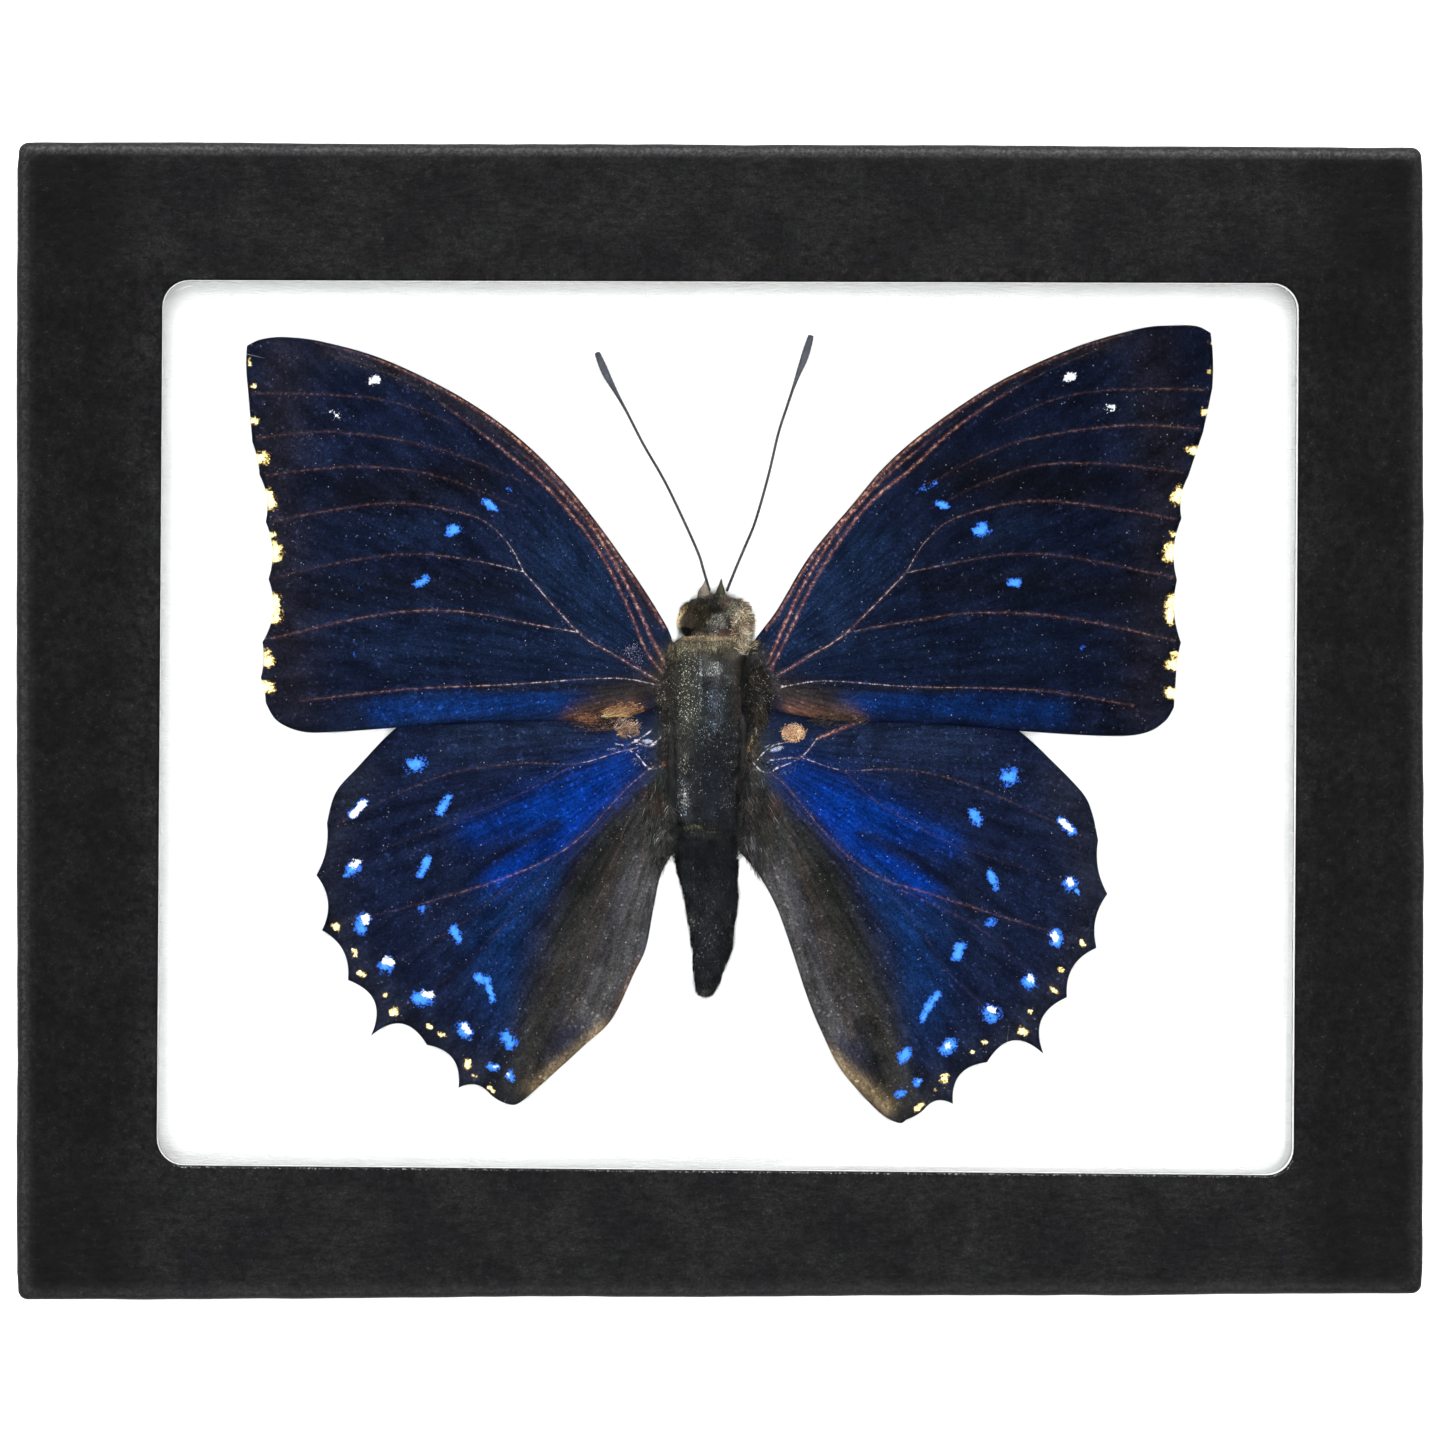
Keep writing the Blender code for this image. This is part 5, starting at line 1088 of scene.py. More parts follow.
# Hair on head, thorax, abdomen and wing roots: centre, half sizes, number, length, way, lift, radius,
# colour (0 takes the body's) and how much the tone varies
HAIR = {
    "thorax": (
        (-1.3, -1.2, 3.8, 8.8, 8000, 0.26, 0.0, -1.0, 0.2, 0.045, 0, 0.7),
        (-3.2, 2.8, 1.4, 3.9, 620, 0.09, 0.3, -1.0, 0.5, 0.045, (0.24, 0.23, 0.18), 0.9),
        (-3.3, 3.4, 1.2, 3.2, 90, 0.13, 0.3, -1.0, 0.6, 0.07, (0.85, 0.83, 0.7), 0.2),
        (-1.95, 3.4, 0.14, 2.9, 150, 0.16, 0.1, -1.0, 0.4, 0.04, (0.24, 0.23, 0.26), 0.7),
        # painted sheen: the next two rows, silver-grey hairs on the front patch and bluish hairs down the
        # middle of the back
        (-0.8, 4.7, 0.8, 0.7, 380, 0.2, 0.2, -1.0, 0.4, 0.045, (0.2, 0.2, 0.2), 0.8),
        (-0.6, 1.2, 0.8, 2.6, 240, 0.18, 0.0, -1.0, 0.4, 0.04, (0.1, 0.13, 0.2), 0.8),
        (-1.3, -1.0, 3.2, 8.0, 300, 0.12, 0.3, -1.0, 0.5, 0.05, (0.3, 0.31, 0.32), 0.7),
        (-1.5, -1.3, 0.8, 0.9, 60, 0.3, 0.4, -0.6, 0.4, 0.025, (0.28, 0.3, 0.34), 0.6),
        (-3.4, -3.9, 0.45, 0.9, 46, 0.26, 0.3, -1.0, 0.5, 0.04, (0.4, 0.38, 0.3), 0.7),
        (-3.5, -7.0, 0.6, 1.8, 130, 0.2, 0.2, -1.0, 0.5, 0.04, (0.17, 0.19, 0.23), 0.9),
        (-3.4, -6.8, 0.4, 0.9, 34, 0.26, 0.3, -1.0, 0.5, 0.045, (0.55, 0.52, 0.4), 0.5),
        (0.6, -5.0, 0.9, 3.6, 200, 0.1, 0.0, -1.0, 0.4, 0.03, (0.16, 0.17, 0.18), 0.7),
        (-1.5, -9.75, 2.7, 0.5, 1300, 0.75, 0.0, -1.0, 0.35, 0.04, (0.02, 0.021, 0.022), 0.7),
        (-2.6, -9.75, 0.8, 0.32, 420, 0.45, 0.5, -0.5, 0.6, 0.026, (0.38, 0.36, 0.21), 0.5),
        (-1.0, -9.9, 0.8, 0.25, 240, 0.4, 0.6, -0.3, 0.6, 0.026, (0.24, 0.22, 0.14), 0.5),
        (-1.3, 7.45, 2.9, 0.2, 1100, 0.34, 0.0, 0.3, 0.9, 0.036, (0.4, 0.32, 0.21), 0.5),
        (-1.2, 6.9, 2.9, 0.55, 1300, 0.36, 0.0, -0.8, 0.6, 0.036, (0.16, 0.14, 0.095), 0.8),
        (-4.3, 6.4, 0.6, 1.0, 520, 0.4, -0.4, -0.8, 0.4, 0.028, (0.17, 0.14, 0.09), 0.6),
        (-4.9, 2.6, 1.0, 3.2, 1500, 0.34, -0.3, -0.8, 0.2, 0.04, (0.028, 0.024, 0.02), 0.9),
        (-4.6, 2.6, 0.4, 3.6, 520, 0.5, 0.7, -0.8, 0.2, 0.04, (0.03, 0.028, 0.024), 0.9),
        (-4.6, -3.4, 0.45, 5.4, 900, 0.55, 0.3, -1.0, 0.2, 0.04, (0.018, 0.018, 0.019), 0.9),
        (-4.75, -9.6, 0.3, 2.2, 420, 1.0, 0.8, -0.9, 0.1, 0.04, (0.026, 0.026, 0.026), 0.7),
        (-5.1, 2.3, 0.8, 2.8, 80, 0.1, 0.4, -0.5, 0.5, 0.045, (0.6, 0.55, 0.42), 0.4),
        (3.3, 2.3, 1.2, 3.2, 1700, 0.34, 0.3, -0.8, 0.2, 0.04, (0.014, 0.012, 0.01), 1.0),
        (3.5, 0.6, 0.7, 1.3, 420, 0.4, 0.2, -0.8, 0.2, 0.04, (0.05, 0.04, 0.03), 0.9),
        (1.9, -3.6, 0.5, 5.4, 900, 0.55, -0.3, -1.0, 0.2, 0.04, (0.015, 0.014, 0.014), 0.9),
        (2.1, -9.6, 0.35, 2.2, 420, 1.0, -0.8, -0.9, 0.1, 0.04, (0.026, 0.026, 0.026), 0.7),
        (3.5, 2.2, 1.1, 2.2, 110, 0.1, 0.4, -0.5, 0.5, 0.045, (0.55, 0.52, 0.4), 0.4),
        (3.15, -0.8, 0.07, 0.3, 12, 0.5, -0.4, -0.9, 0.3, 0.03, (0.75, 0.55, 0.4), 0.4),
        (2.8, -1.6, 0.07, 0.35, 12, 0.5, -0.4, -0.9, 0.3, 0.03, (0.8, 0.5, 0.16), 0.4),
        (2.5, -2.4, 0.07, 0.3, 10, 0.5, -0.4, -0.9, 0.3, 0.03, (0.65, 0.36, 0.12), 0.4),
        (-4.9, -0.1, 0.1, 0.3, 7, 0.5, 0.5, -0.7, 0.3, 0.03, (0.6, 0.4, 0.18), 0.5),
        (-5.1, -2.4, 0.7, 1.9, 700, 0.45, -0.3, -0.9, 0.35, 0.028, (0.045, 0.04, 0.038), 0.8),
        (2.8, -3.0, 0.8, 2.2, 800, 0.45, 0.2, -0.9, 0.35, 0.028, (0.05, 0.04, 0.033), 0.8),
        (-5.2, -3.9, 0.2, 0.25, 30, 0.25, -0.4, -0.8, 0.5, 0.035, (0.36, 0.12, 0.05), 0.5),
        (-5.7, -7.6, 0.6, 1.0, 240, 0.5, -0.3, -0.9, 0.3, 0.03, (0.055, 0.028, 0.022), 0.8),
        (-5.8, -9.5, 1.3, 4.2, 1500, 0.9, -0.35, -1.0, 0.1, 0.03, (0.03, 0.029, 0.027), 0.9),
        (3.2, -9.5, 1.3, 4.2, 1500, 0.9, 0.25, -1.0, 0.1, 0.03, (0.034, 0.03, 0.029), 0.9),
        (2.8, -11.2, 0.25, 1.2, 80, 0.8, 0.1, -1.0, 0.1, 0.03, (0.2, 0.2, 0.24), 0.4),
        (6.5, -1.1, 1.05, 0.78, 1300, 0.16, 0.3, -0.4, 0.5, 0.04, (0.85, 0.5, 0.3), 0.35),
        (-8.4, -0.9, 1.0, 0.75, 620, 0.32, -0.8, -0.1, 0.3, 0.03, (0.28, 0.17, 0.11), 0.6),
        (-9.7, 0.75, 1.2, 0.34, 420, 0.9, 1.0, 0.22, 0.06, 0.03, (0.34, 0.19, 0.1), 0.45),
        (-9.9, 0.45, 1.2, 0.1, 70, 1.1, 1.0, 0.2, 0.08, 0.032, (0.85, 0.55, 0.25), 0.3),
        (-12.0, 0.1, 0.9, 0.4, 200, 0.4, -1.0, 0.3, 0.1, 0.03, (0.36, 0.17, 0.09), 0.5),
        (-11.2, -0.2, 2.2, 0.8, 520, 0.35, -1.0, 0.1, 0.1, 0.03, (0.11, 0.06, 0.04), 0.6),
        (-10.6, 0.9, 2.2, 0.8, 240, 0.6, -1.0, -0.25, 0.05, 0.035, (0.035, 0.022, 0.018), 0.8),
        (-8.6, 1.1, 1.8, 0.6, 150, 0.6, -1.0, -0.3, 0.06, 0.035, (0.3, 0.15, 0.08), 0.7),
        (-8.6, -0.3, 1.2, 0.7, 130, 0.55, -0.8, -0.7, 0.1, 0.04, (0.62, 0.42, 0.3), 0.5),
        (10.5, 0.0, 2.6, 0.7, 420, 0.4, 1.0, 0.1, 0.1, 0.03, (0.06, 0.045, 0.03), 0.6),
        (-6.8, -2.0, 0.85, 0.32, 520, 0.3, -0.9, -0.6, 0.05, 0.045, (0.55, 0.62, 0.85), 0.4),
        (-8.9, -2.6, 1.5, 0.18, 260, 0.3, -0.9, -0.3, 0.05, 0.03, (0.26, 0.28, 0.36), 0.6),
        (-7.3, -3.6, 0.8, 0.5, 120, 0.24, -0.6, -0.6, 0.05, 0.03, (0.16, 0.16, 0.17), 0.6),
        (4.8, -2.4, 0.75, 0.3, 420, 0.3, -0.7, -0.8, 0.05, 0.042, (0.5, 0.56, 0.78), 0.4),
        (5.4, -4.2, 1.3, 0.7, 200, 0.2, -0.5, -0.5, 0.05, 0.028, (0.09, 0.11, 0.1), 0.7),
        (-8.1, 6.0, 1.0, 1.1, 260, 0.09, 0.5, -0.5, 0.3, 0.035, (0.3, 0.27, 0.36), 0.5)),
    "abdomen": (
        (-1.4, -10.3, 2.9, 0.5, 700, 0.5, 0.0, 1.0, 0.35, 0.04, (0.014, 0.014, 0.016), 0.6),
        (-1.2, -17.6, 3.1, 7.8, 5600, 0.34, 0.0, -1.0, 0.3, 0.045, 0, 0.9),
        (-1.2, -18.6, 2.0, 5.6, 130, 0.12, 0.3, -1.0, 0.4, 0.05, (0.26, 0.28, 0.3), 0.8),
        (-3.9, -14.2, 0.35, 1.9, 420, 0.34, -0.9, -0.6, 0.1, 0.05, (0.008, 0.009, 0.012), 0.7),
        (-3.2, -17.8, 0.35, 2.0, 420, 0.36, -0.9, -0.6, 0.1, 0.05, (0.01, 0.011, 0.013), 0.7),
        (-2.7, -21.4, 0.3, 2.1, 420, 0.34, -0.9, -0.6, 0.1, 0.05, (0.009, 0.01, 0.012), 0.7),
        (1.45, -14.2, 0.35, 1.9, 420, 0.34, 0.9, -0.6, 0.1, 0.05, (0.008, 0.009, 0.012), 0.7),
        (1.15, -17.8, 0.35, 2.0, 420, 0.36, 0.9, -0.6, 0.1, 0.05, (0.01, 0.011, 0.013), 0.7),
        (0.5, -20.8, 0.45, 1.3, 340, 0.36, 0.9, -0.6, 0.1, 0.05, (0.01, 0.011, 0.013), 0.7),
        (-0.15, -23.0, 0.35, 1.2, 320, 0.3, 0.9, -0.6, 0.1, 0.05, (0.01, 0.011, 0.012), 0.7),
        (-1.45, -24.4, 0.9, 0.5, 420, 0.34, 0.0, -1.0, 0.1, 0.05, (0.012, 0.013, 0.013), 0.8),
        (-3.1, -18.3, 0.3, 1.0, 90, 0.14, -0.5, -0.8, 0.4, 0.035, (0.32, 0.3, 0.18), 0.5),
        (-1.5, -24.6, 0.45, 0.35, 120, 0.35, 0.0, -1.0, 0.3, 0.03, (0.16, 0.16, 0.14), 0.6)),
    "head": (
        (-0.7, 9.5, 2.9, 2.0, 2600, 0.34, 0.0, 0.5, 0.5, 0.04, 0, 0.8),
        (2.0, 9.0, 1.1, 2.4, 2000, 0.4, 0.5, -0.3, 0.5, 0.04, (0.1, 0.078, 0.052), 0.7),
        (2.0, 9.0, 1.2, 2.5, 1700, 0.75, 0.6, -0.3, 0.7, 0.05, (0.4, 0.305, 0.21), 0.9),
        (2.3, 7.4, 0.6, 0.9, 700, 0.7, 0.2, -0.9, 0.4, 0.04, (0.3, 0.24, 0.16), 0.7),
        (2.85, 8.8, 0.25, 2.2, 260, 0.6, 0.9, 0.1, 0.1, 0.035, (0.42, 0.33, 0.2), 0.4),
        (1.1, 10.2, 0.6, 1.1, 700, 0.4, 0.2, 0.5, 0.8, 0.04, (0.18, 0.185, 0.15), 0.7),
        (0.4, 10.6, 0.5, 0.5, 320, 0.3, 0.0, 0.6, 0.6, 0.028, (0.12, 0.06, 0.045), 0.5),
        (0.1, 8.1, 0.6, 0.35, 260, 0.3, 0.3, -0.5, 0.6, 0.028, (0.13, 0.07, 0.055), 0.6),
        (-0.6, 8.8, 0.85, 0.8, 360, 0.4, 0.3, 0.5, 0.6, 0.04, (0.17, 0.16, 0.145), 1.0),
        (0.3, 11.55, 0.55, 0.4, 360, 0.4, 0.0, 0.8, 0.4, 0.026, (0.25, 0.27, 0.2), 0.45),
        (-1.4, 11.25, 0.6, 0.25, 240, 0.3, 0.0, 0.8, 0.4, 0.026, (0.2, 0.17, 0.16), 0.5),
        # painted highlight: a white glint on the left eye, made of short pale hairs
        (-2.2, 10.85, 0.12, 0.1, 16, 0.1, 0.0, 0.5, 0.8, 0.05, (0.9, 0.9, 0.86), 0.1),
        (-2.3, 9.2, 1.1, 1.15, 1300, 0.45, 0.3, 0.9, 0.3, 0.036, (0.03, 0.023, 0.013), 1.1),
        (-3.1, 10.0, 0.55, 0.35, 240, 0.3, 0.5, 0.6, 0.25, 0.028, (0.18, 0.1, 0.05), 0.6),
        # painted shade: near-black hairs in the notch under the left eye and in the pit beside it
        (-3.3, 8.1, 0.45, 0.5, 260, 0.3, 0.2, -0.8, 0.3, 0.03, (0.005, 0.0045, 0.004), 0.5),
        (-0.6, 10.0, 0.5, 0.35, 260, 0.25, 0.4, 0.2, 0.2, 0.03, (0.006, 0.005, 0.004), 0.5),
        (-1.8, 8.0, 1.0, 0.35, 300, 0.35, 0.1, 0.9, 0.4, 0.026, (0.1, 0.07, 0.05), 0.6)),
}


def form_height(x, y, rows, power=2.6):
    """Top of a rounded form over each place, and far below where the form doesn't reach."""
    table = np.array(rows)
    table = table[np.argsort(table[:, 0])]
    centre, width, middle, height = section(y, table)
    u = np.clip(np.abs(x - centre) / width, 0, 1)
    z = middle + height * (1 - u ** power) ** (1 / power)
    covered = (u < 0.985) & (y > table[0, 0]) & (y < table[-1, 0])
    return np.where(covered, z, NOWHERE)


def top_height(x, y):
    """Top of the insect over each place, where hair can grow."""
    z = np.max((form_height(x, y, THORAX) + thorax_relief(x, y), form_height(x, y, abdomen_rows()),
                form_height(x, y, HEAD, 2.2)), 0)
    for _, (cx, cy, cz), (rx, ry, rz) in [(*eye, EYE_RADII) for eye in EYES] + [TUFT, *LUMPS]:
        u = ((x - cx) / rx) ** 2 + ((y - cy) / ry) ** 2
        z = np.where(u < 0.96, np.maximum(z, cz + rz * np.sqrt(np.clip(1 - u, 0, 1))), z)
    q = np.stack((x, y), 1)
    for wing in OUTLINES:
        wing_top = wing_level(wing) + WING_THICKNESS + wave(x, y)
        z = np.where(inside(q, wing_ring(wing, 0.6)), np.maximum(z, wing_top), z)
    return z


def build_hair(node, slot, mat):
    points, faces, ground, start = [], [], [], 0
    for cx, cy, hx, hy, count, length, dx, dy, lift, radius, colour, vary in HAIR[node]:
        turn = rng.uniform(0, 2 * math.pi, count)
        reach = np.sqrt(rng.random(count)) * rng.normal(1.0, 0.12, count)
        x, y = cx + np.cos(turn) * reach * hx, cy + np.sin(turn) * reach * hy
        z = top_height(x, y)
        roots = np.stack((x, y, z - ROOT_DEPTH), 1)[z > HAIR_BASE]
        number = len(roots)
        lean = top_height(roots[:, 0] + 0.12, roots[:, 1]) - top_height(roots[:, 0] - 0.12, roots[:, 1])
        lean = np.clip(lean, -0.4, 0.4) / 0.24
        ways = np.array((dx, dy, lift)) + rng.normal(0, 0.26, (number, 3)) * np.array((1, 1, 0.5))
        ways[:, 0] -= lean * lift
        ways[:, 2] += np.minimum(lean * ways[:, 0], 0.0) * (lift > 0.15)
        curl = rng.normal(0, 0.12, (number, 3))
        curl[:, 2] -= lift * 0.5
        tone = body_colour(roots) if colour == 0 else np.array(colour) * blotches(roots)
        bends = 2 if length > LONG_HAIR else 1
        lengths = rng.uniform(0.55, 1.2, number) * length
        p, f, each = strands(roots, ways, lengths, radius, curl * length, bends)
        p[:, 2] = np.minimum(p[:, 2], FIBRE_TOP)
        points.append(p)
        faces.append(f + start)
        start += len(p)
        ground.append(np.repeat(tone * rng.lognormal(0.0, vary, (number, 1)), each, 0))
    ground = np.minimum(np.vstack(ground), 0.92)
    dress(solid(node + "_hair", np.vstack(points), np.vstack(faces), mat, ground=ground), slot, node)


def build_lump(name, centre, radii, mat, slot, node):
    p, faces = ellipsoid(np.array(centre), np.array(radii))
    bumps = (lumpy(p, 1.1, 5.0) + 0.5 * lumpy(p, 0.4, 8.0)) * 0.12
    p += (p - centre) / np.array(radii) * bumps[:, None]
    dress(solid(name, p, faces, mat, ground=body_colour(p) * 0.7), slot, node)


def build_body(mat):
    for name, centre, radii in LUMPS:
        build_lump(name, centre, radii, mat, "body_hair", "thorax")
    dress(body_form("thorax_skin", THORAX, mat, relief=thorax_relief), "body_hair", "thorax")
    abdomen = body_form("abdomen_skin", abdomen_rows(), mat, spacing=0.12, rough=0.13)
    dress(abdomen, "abdomen_scales", "abdomen")
    for node, slot in (("thorax", "body_hair"), ("abdomen", "abdomen_scales"), ("head", "head_hair")):
        build_hair(node, slot, mat)


def ellipsoid(centre, radii, rows=40, sides=60):
    """Points and faces of a dome-like form, closed at both poles."""
    a = math.pi * np.arange(1, rows) / rows
    b = full_turn(sides)
    ring = np.stack((np.outer(np.sin(a), np.cos(b)), np.outer(np.sin(a), np.sin(b)),
                     np.outer(np.cos(a), np.ones(sides))), 2).reshape(-1, 3)
    p = np.vstack((ring, (0, 0, 1), (0, 0, -1))) * radii + centre
    faces = quads(rows - 1, sides)
    top, bottom, last = len(ring), len(ring) + 1, (rows - 2) * sides
    faces += [(k, (k + 1) % sides, top) for k in range(sides)]
    faces += [(last + (k + 1) % sides, last + k, bottom) for k in range(sides)]
    return p, faces


# painted highlight: the golden arc along the left eye's outer side, where it catches the light
EYE_HIGHLIGHT_ARC = ((-3.25, 10.2), (-3.7, 9.75), (-3.95, 9.3), (-4.05, 8.8), (-3.95, 8.35))


def build_head(hair_mat, eye_mat):
    dress(body_form("head_skin", HEAD, hair_mat, power=2.2, spacing=0.1), "head_hair", "head")
    build_lump(*TUFT, hair_mat, "head_hair", "head")
    for name, centre in EYES:
        p, faces = ellipsoid(np.array(centre), np.array(EYE_RADII))
        d, _ = nearest(p[:, :2], EYE_HIGHLIGHT_ARC)
        outer = smooth((-3.45 - p[:, 0] + 0.25 * (p[:, 1] - 9.4)) / 0.5) * (name == "eye_left")
        # painted highlight: the golden arc, on the upper side of the left eye only
        highlight_arc = bell(d, 0.17) * (name == "eye_left") * (p[:, 2] > centre[2])
        eye = solid(name, p, faces, eye_mat, spot=np.stack((outer, highlight_arc, highlight_arc * 0), 1))
        dress(eye, "head_hair", "head")
    for name, root, tip, radius in PALPS:
        steps, sides = 14, 18
        root, tip = np.array(root), np.array(tip)
        rings = []
        for t in np.linspace(0, 1, steps):
            r = radius * (0.75 + 0.5 * math.sin(math.pi * min(t * 1.3, 1.0))) * (1 - t) ** 0.7 + 0.03
            centre = root + (tip - root) * t + np.array((0, 0, 0.15 * math.sin(math.pi * t)))
            a = full_turn(sides)
            rings.append(centre + np.stack((np.cos(a) * r, a * 0, np.sin(a) * r * 0.8), 1))
        p = np.vstack(rings)
        tone = np.array((0.2, 0.165, 0.135) if name == "palp_left" else (0.05, 0.05, 0.03))
        shade = 0.35 + 0.65 * smooth((p[:, :1] - root[0] + 0.35) / 0.5)
        dress(solid(name, p, tube(steps, sides), hair_mat, ground=tone * shade), "head_hair", "head")


def build_antenna(name, mat):
    """A ringed stalk that swells into a long club."""
    path = spline(ANTENNAE[name], 0.085)
    travelled = np.concatenate(([0], np.cumsum(np.linalg.norm(np.diff(path, axis=0), axis=1))))
    t = travelled / travelled[-1]
    club = bell(t - 0.93, 0.09)
    radii = STALK_RADIUS + (CLUB_RADIUS - STALK_RADIUS) * club
    radii *= 1 - 0.13 * np.maximum(np.cos(travelled * 2 * math.pi / STALK_RING), 0) ** 2
    radii[-1] *= 0.3
    along = unit(np.gradient(path, axis=0))
    side = np.cross(along, (0.0, 0.0, 1.0))
    over = np.cross(side, along)
    sides = 12
    a = full_turn(sides)
    ring = side[:, None] * np.cos(a)[None, :, None] + over[:, None] * np.sin(a)[None, :, None]
    p = (path[:, None] + ring * radii[:, None, None]).reshape(-1, 3)
    piece = solid(name + "_horn", p, tube(len(path), sides), mat, wear=np.repeat(club, sides))
    dress(piece, "antenna_horn", name)


# Batting

PAD_TOP, PAD_BOTTOM = 14.75, 1.9
PAD_HALF = (60.0, 48.5)
PAD_EDGE_DROP, PAD_EDGE_WIDTH = 1.6, 3.0
JOINT_LEVEL = 11.8
# the part of the pad with the finer grid, round the body and the antennae
FINE_X, FINE_Y = (-9.0, 7.0), (-28.0, 15.0)
FIBRE_TRIES, FIBRES, FIBRE_RADIUS, FIBRE_CLEARANCE = 9000, 2600, 0.028, 3.0
UNDER_FOREWING, UNDER_HINDWING, UNDER_ANTENNA = 14.05, 13.55, 13.6
# the head with its eyes, as the batting meets it: y, centre x, half width, middle z, half height
FRONT = ((7.8, -0.9, 3.0, 12.6, 2.0), (9.0, -0.6, 3.4, 12.7, 2.2), (10.4, -0.55, 3.05, 12.8, 2.1),
         (11.2, -0.5, 1.8, 13.2, 1.2), (11.6, -0.5, 1.1, 13.4, 0.9))


def pad_height(q):
    """Top of the batting: puffed up between the wings, pressed down under them and round the body."""
    top = PAD_TOP + 0.12 * lumpy(q, 7.0, 2.0) + 0.1 * lumpy(q, 2.2, 4.0) + 0.05 * lumpy(q, 0.9, 6.0)
    reach = np.full(len(q), 9.0)
    for wing in OUTLINES:
        under = by_pair(wing, UNDER_FOREWING, UNDER_HINDWING)
        ring = wing_ring(wing, 0.8)
        away = from_ring(q, ring) * np.where(inside(q, ring), -1, 1)
        top = np.minimum(top, under + wave(q[:, 0], q[:, 1]) + 1.2 * smooth((away - 0.4) / 2.6))
        reach = np.minimum(reach, away)
    for course in ANTENNAE.values():
        away = nearest(q, np.array(course)[:, :2])[0]
        top = np.minimum(top, UNDER_ANTENNA + 1.4 * smooth((away - 0.5) / 1.8))
        reach = np.minimum(reach, away)
    for _, root, tip, radius in PALPS:
        away = nearest(q, (root[:2], tip[:2]))[0]
        top = np.minimum(top, 13.5 + 1.6 * smooth((away - radius * 0.6) / 0.4))
    rows = np.array(abdomen_rows()[::-1] + list(THORAX[::-1]) + list(FRONT))
    centre, width, middle, height = section(q[:, 1], rows)
    beyond = np.maximum(np.maximum(rows[0, 0] - q[:, 1], q[:, 1] - rows[-1, 0]), 0)
    across = np.abs(q[:, 0] - centre)
    away = np.hypot(np.maximum(across - width, 0), beyond)
    under = middle - height * np.sqrt(1 - np.clip(across / width, 0, 1) ** 2) - BED_GAP
    top = np.minimum(top, under + (15.0 - under) * smooth((away + 0.12) / 0.34))
    # the batting stays low between the body and the wing roots
    joint = smooth((q[:, 1] + 12.2) / 0.5) * smooth((7.3 - q[:, 1]) / 0.5) * (across < width + 1.3)
    top -= joint * np.maximum(top - JOINT_LEVEL, 0)
    return top, np.minimum(reach, away)


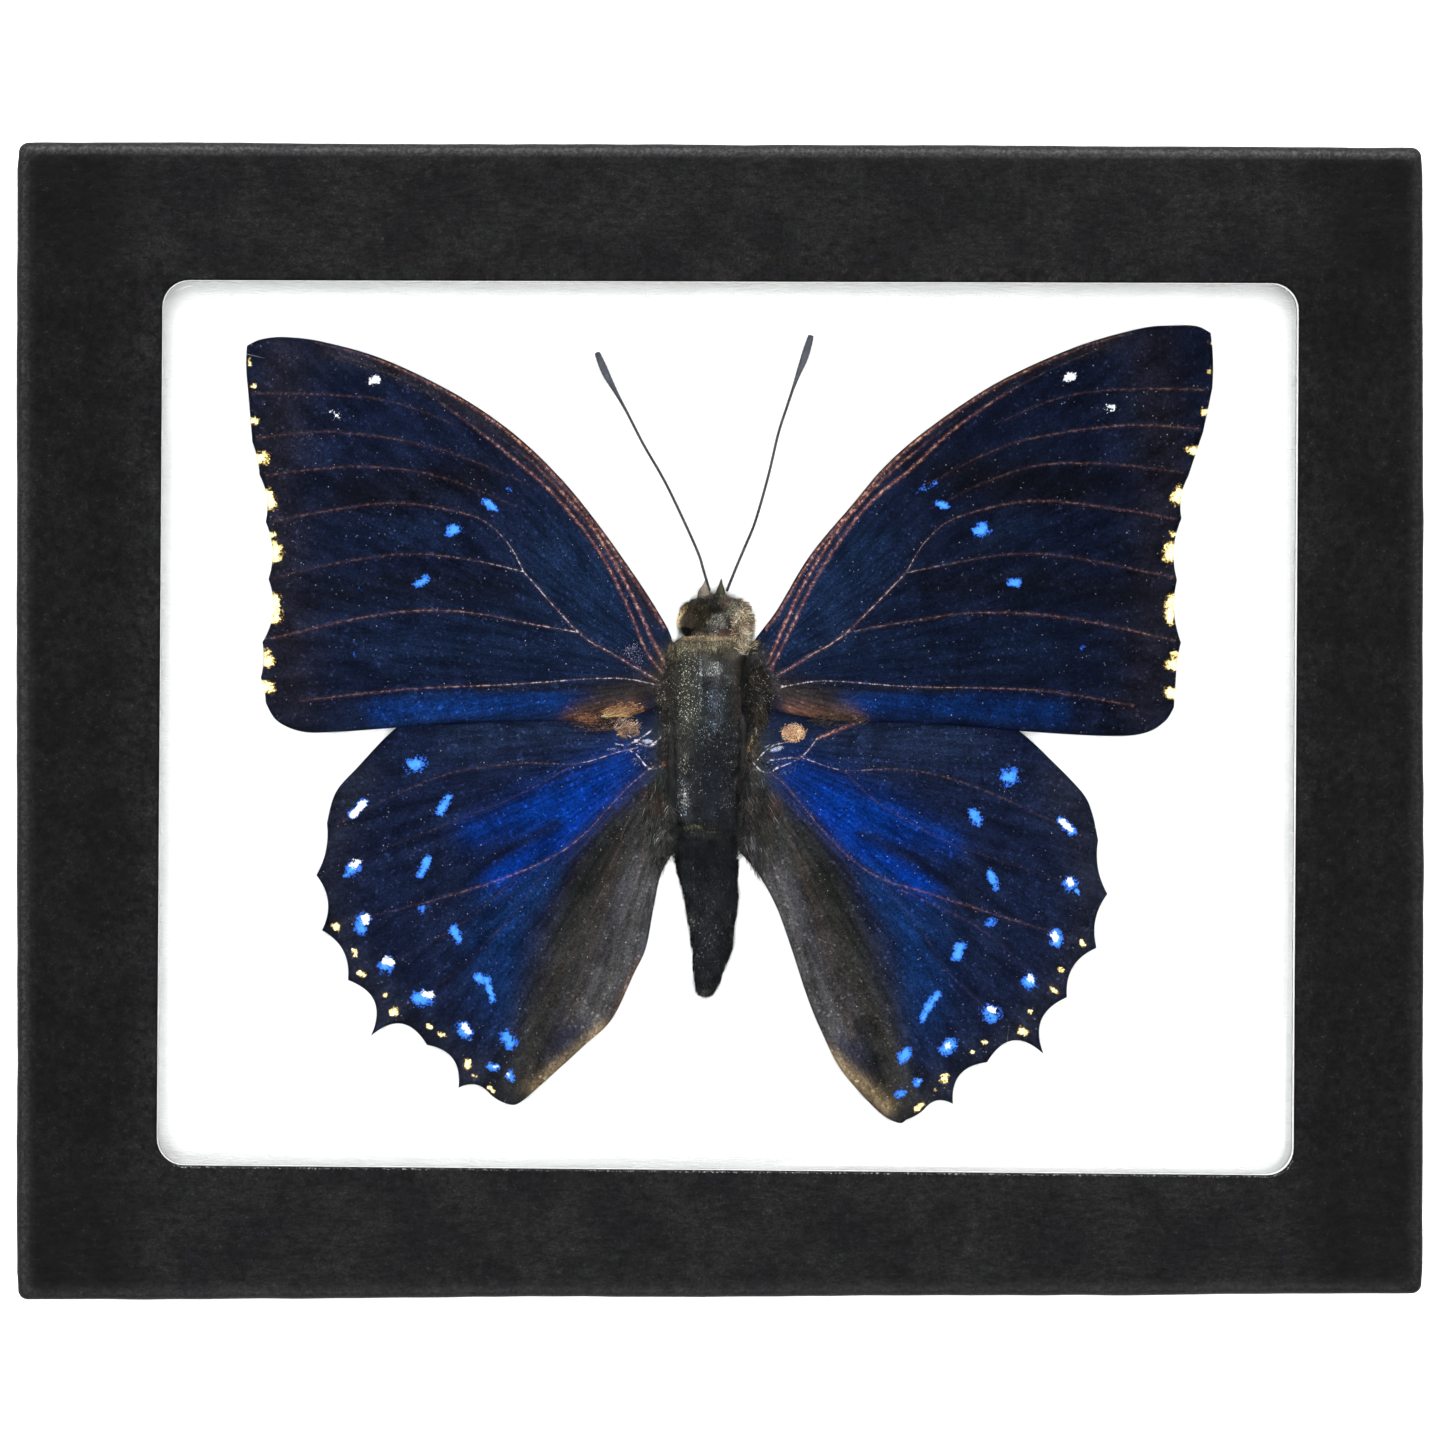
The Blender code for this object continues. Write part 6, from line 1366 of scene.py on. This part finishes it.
def build_batting(mat):
    xs, ys = (np.concatenate((np.linspace(-half, low, before)[:-1], np.arange(low, high, step),
                              np.linspace(high, half, after)))
              for half, (low, high), step, before, after in (
                  (PAD_HALF[0], FINE_X, 0.24, 57, 60), (PAD_HALF[1], FINE_Y, 0.36, 25, 38)))
    gx, gy = np.meshgrid(xs, ys)
    q = np.stack((gx.ravel(), gy.ravel()), 1)
    z, _ = pad_height(q)
    edge = np.minimum(PAD_HALF[0] - np.abs(q[:, 0]), PAD_HALF[1] - np.abs(q[:, 1]))
    z = z - PAD_EDGE_DROP * (1 - np.clip(edge / PAD_EDGE_WIDTH, 0, 1)) ** 2
    nx, ny = len(xs), len(ys)
    faces = quads(ny, nx, wrap_columns=False)
    border = list(range(nx)) + [j * nx + nx - 1 for j in range(1, ny)]
    border += [(ny - 1) * nx + i for i in range(nx - 2, -1, -1)] + [j * nx for j in range(ny - 2, 0, -1)]
    points = [np.column_stack((q, z))]
    rim = points[0][border]
    count, rows, start = len(border), 12, len(q)
    middle = rim * np.array((1, 1, 0))
    for k in range(1, rows + 1):
        t = k / rows
        tuck = 1.0 - 0.012 * (1 - math.sin(math.pi * t)) - 0.006 * lumpy(rim * (1, 1, 0) + (0, 0, 9 * t), 5.0)
        ring = middle * np.minimum(tuck, 1.0)[:, None]
        ring[:, 2] = rim[:, 2] + (PAD_BOTTOM - rim[:, 2]) * t
        points.append(ring)
    faces += [(border[k], border[(k + 1) % count], start + (k + 1) % count, start + k) for k in range(count)]
    faces += quads(rows, count, start=start)
    faces.append(tuple(start + (rows - 1) * count + k for k in range(count)))
    pad = solid("batting_pad", np.vstack(points), faces, mat)
    dress(pad, "white_batting", "fill")

    # loose fibres that stand off the pad, kept clear of the insect
    roots = rng.uniform((-49.0, -39.0), (50.5, 38.5), (FIBRE_TRIES, 2))
    heights, reach = pad_height(roots)
    roots = np.column_stack((roots, heights))[reach > FIBRE_CLEARANCE][:FIBRES]
    number = len(roots)
    turn = rng.uniform(0, 2 * math.pi, number)
    ways = np.stack((np.cos(turn), np.sin(turn), np.full(number, 0.12)), 1)
    curl = np.column_stack((rng.normal(0, 0.45, (number, 2)), np.full(number, -0.16)))
    p, faces, _ = strands(roots, ways, rng.uniform(1.2, 2.8, number), FIBRE_RADIUS, curl, steps=5)
    p[:, 2] = np.minimum(p[:, 2], FIBRE_TOP)
    fibres = solid("batting_fibres", p, faces, mat)
    dress(fibres, "white_batting", "fill")


# Assembly

def main():
    make_camera()
    make_world()
    for light in LIGHTS:
        make_light(*light)

    floor_paint = Paint("floor", Roughness=0.9, Specular_IOR_Level=0.1)
    half = FLOOR_SIZE / 2
    corners = [(x, y, FLOOR_LEVEL) for x, y in ((-half, -half), (half, -half), (half, half), (-half, half))]
    floor = solid("floor", corners, [(0, 1, 2, 3)], floor_paint.finish(
        floor_paint.mix(floor_paint.noise(0.05, 2.0), (0.9, 0.9, 0.9), (0.92, 0.92, 0.92))))

    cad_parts["tray"].data.materials.clear()
    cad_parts["tray"].data.materials.append(
        paper_paint("tray_paper", (0.0024, 0.0023, 0.0026), (0.0042, 0.0043, 0.0041)))
    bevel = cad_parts["tray"].modifiers.new("eased", "BEVEL")
    bevel.width, bevel.segments, bevel.angle_limit = 0.1 * MM, 2, math.radians(40)
    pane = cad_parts["glass_pane"]
    pane.data.materials.clear()
    pane.data.materials.append(glass_paint())
    bevel = pane.modifiers.new("ground_edge", "BEVEL")
    bevel.width, bevel.segments = 0.12 * MM, 2

    build_lid(paper_paint("black_paper", (0.0022, 0.0021, 0.0025), (0.004, 0.0042, 0.004)))
    forewing, hindwing = wing_paint("forewing_scales"), wing_paint("hindwing_scales")
    for wing in OUTLINES:
        build_wing(wing, by_pair(wing, forewing, hindwing))
    hair = hair_paint("body_hair")
    build_body(hair)
    build_head(hair, eye_paint())
    horn = horn_paint()
    for name in ANTENNAE:
        build_antenna(name, horn)
    build_batting(batting_paint())


main()
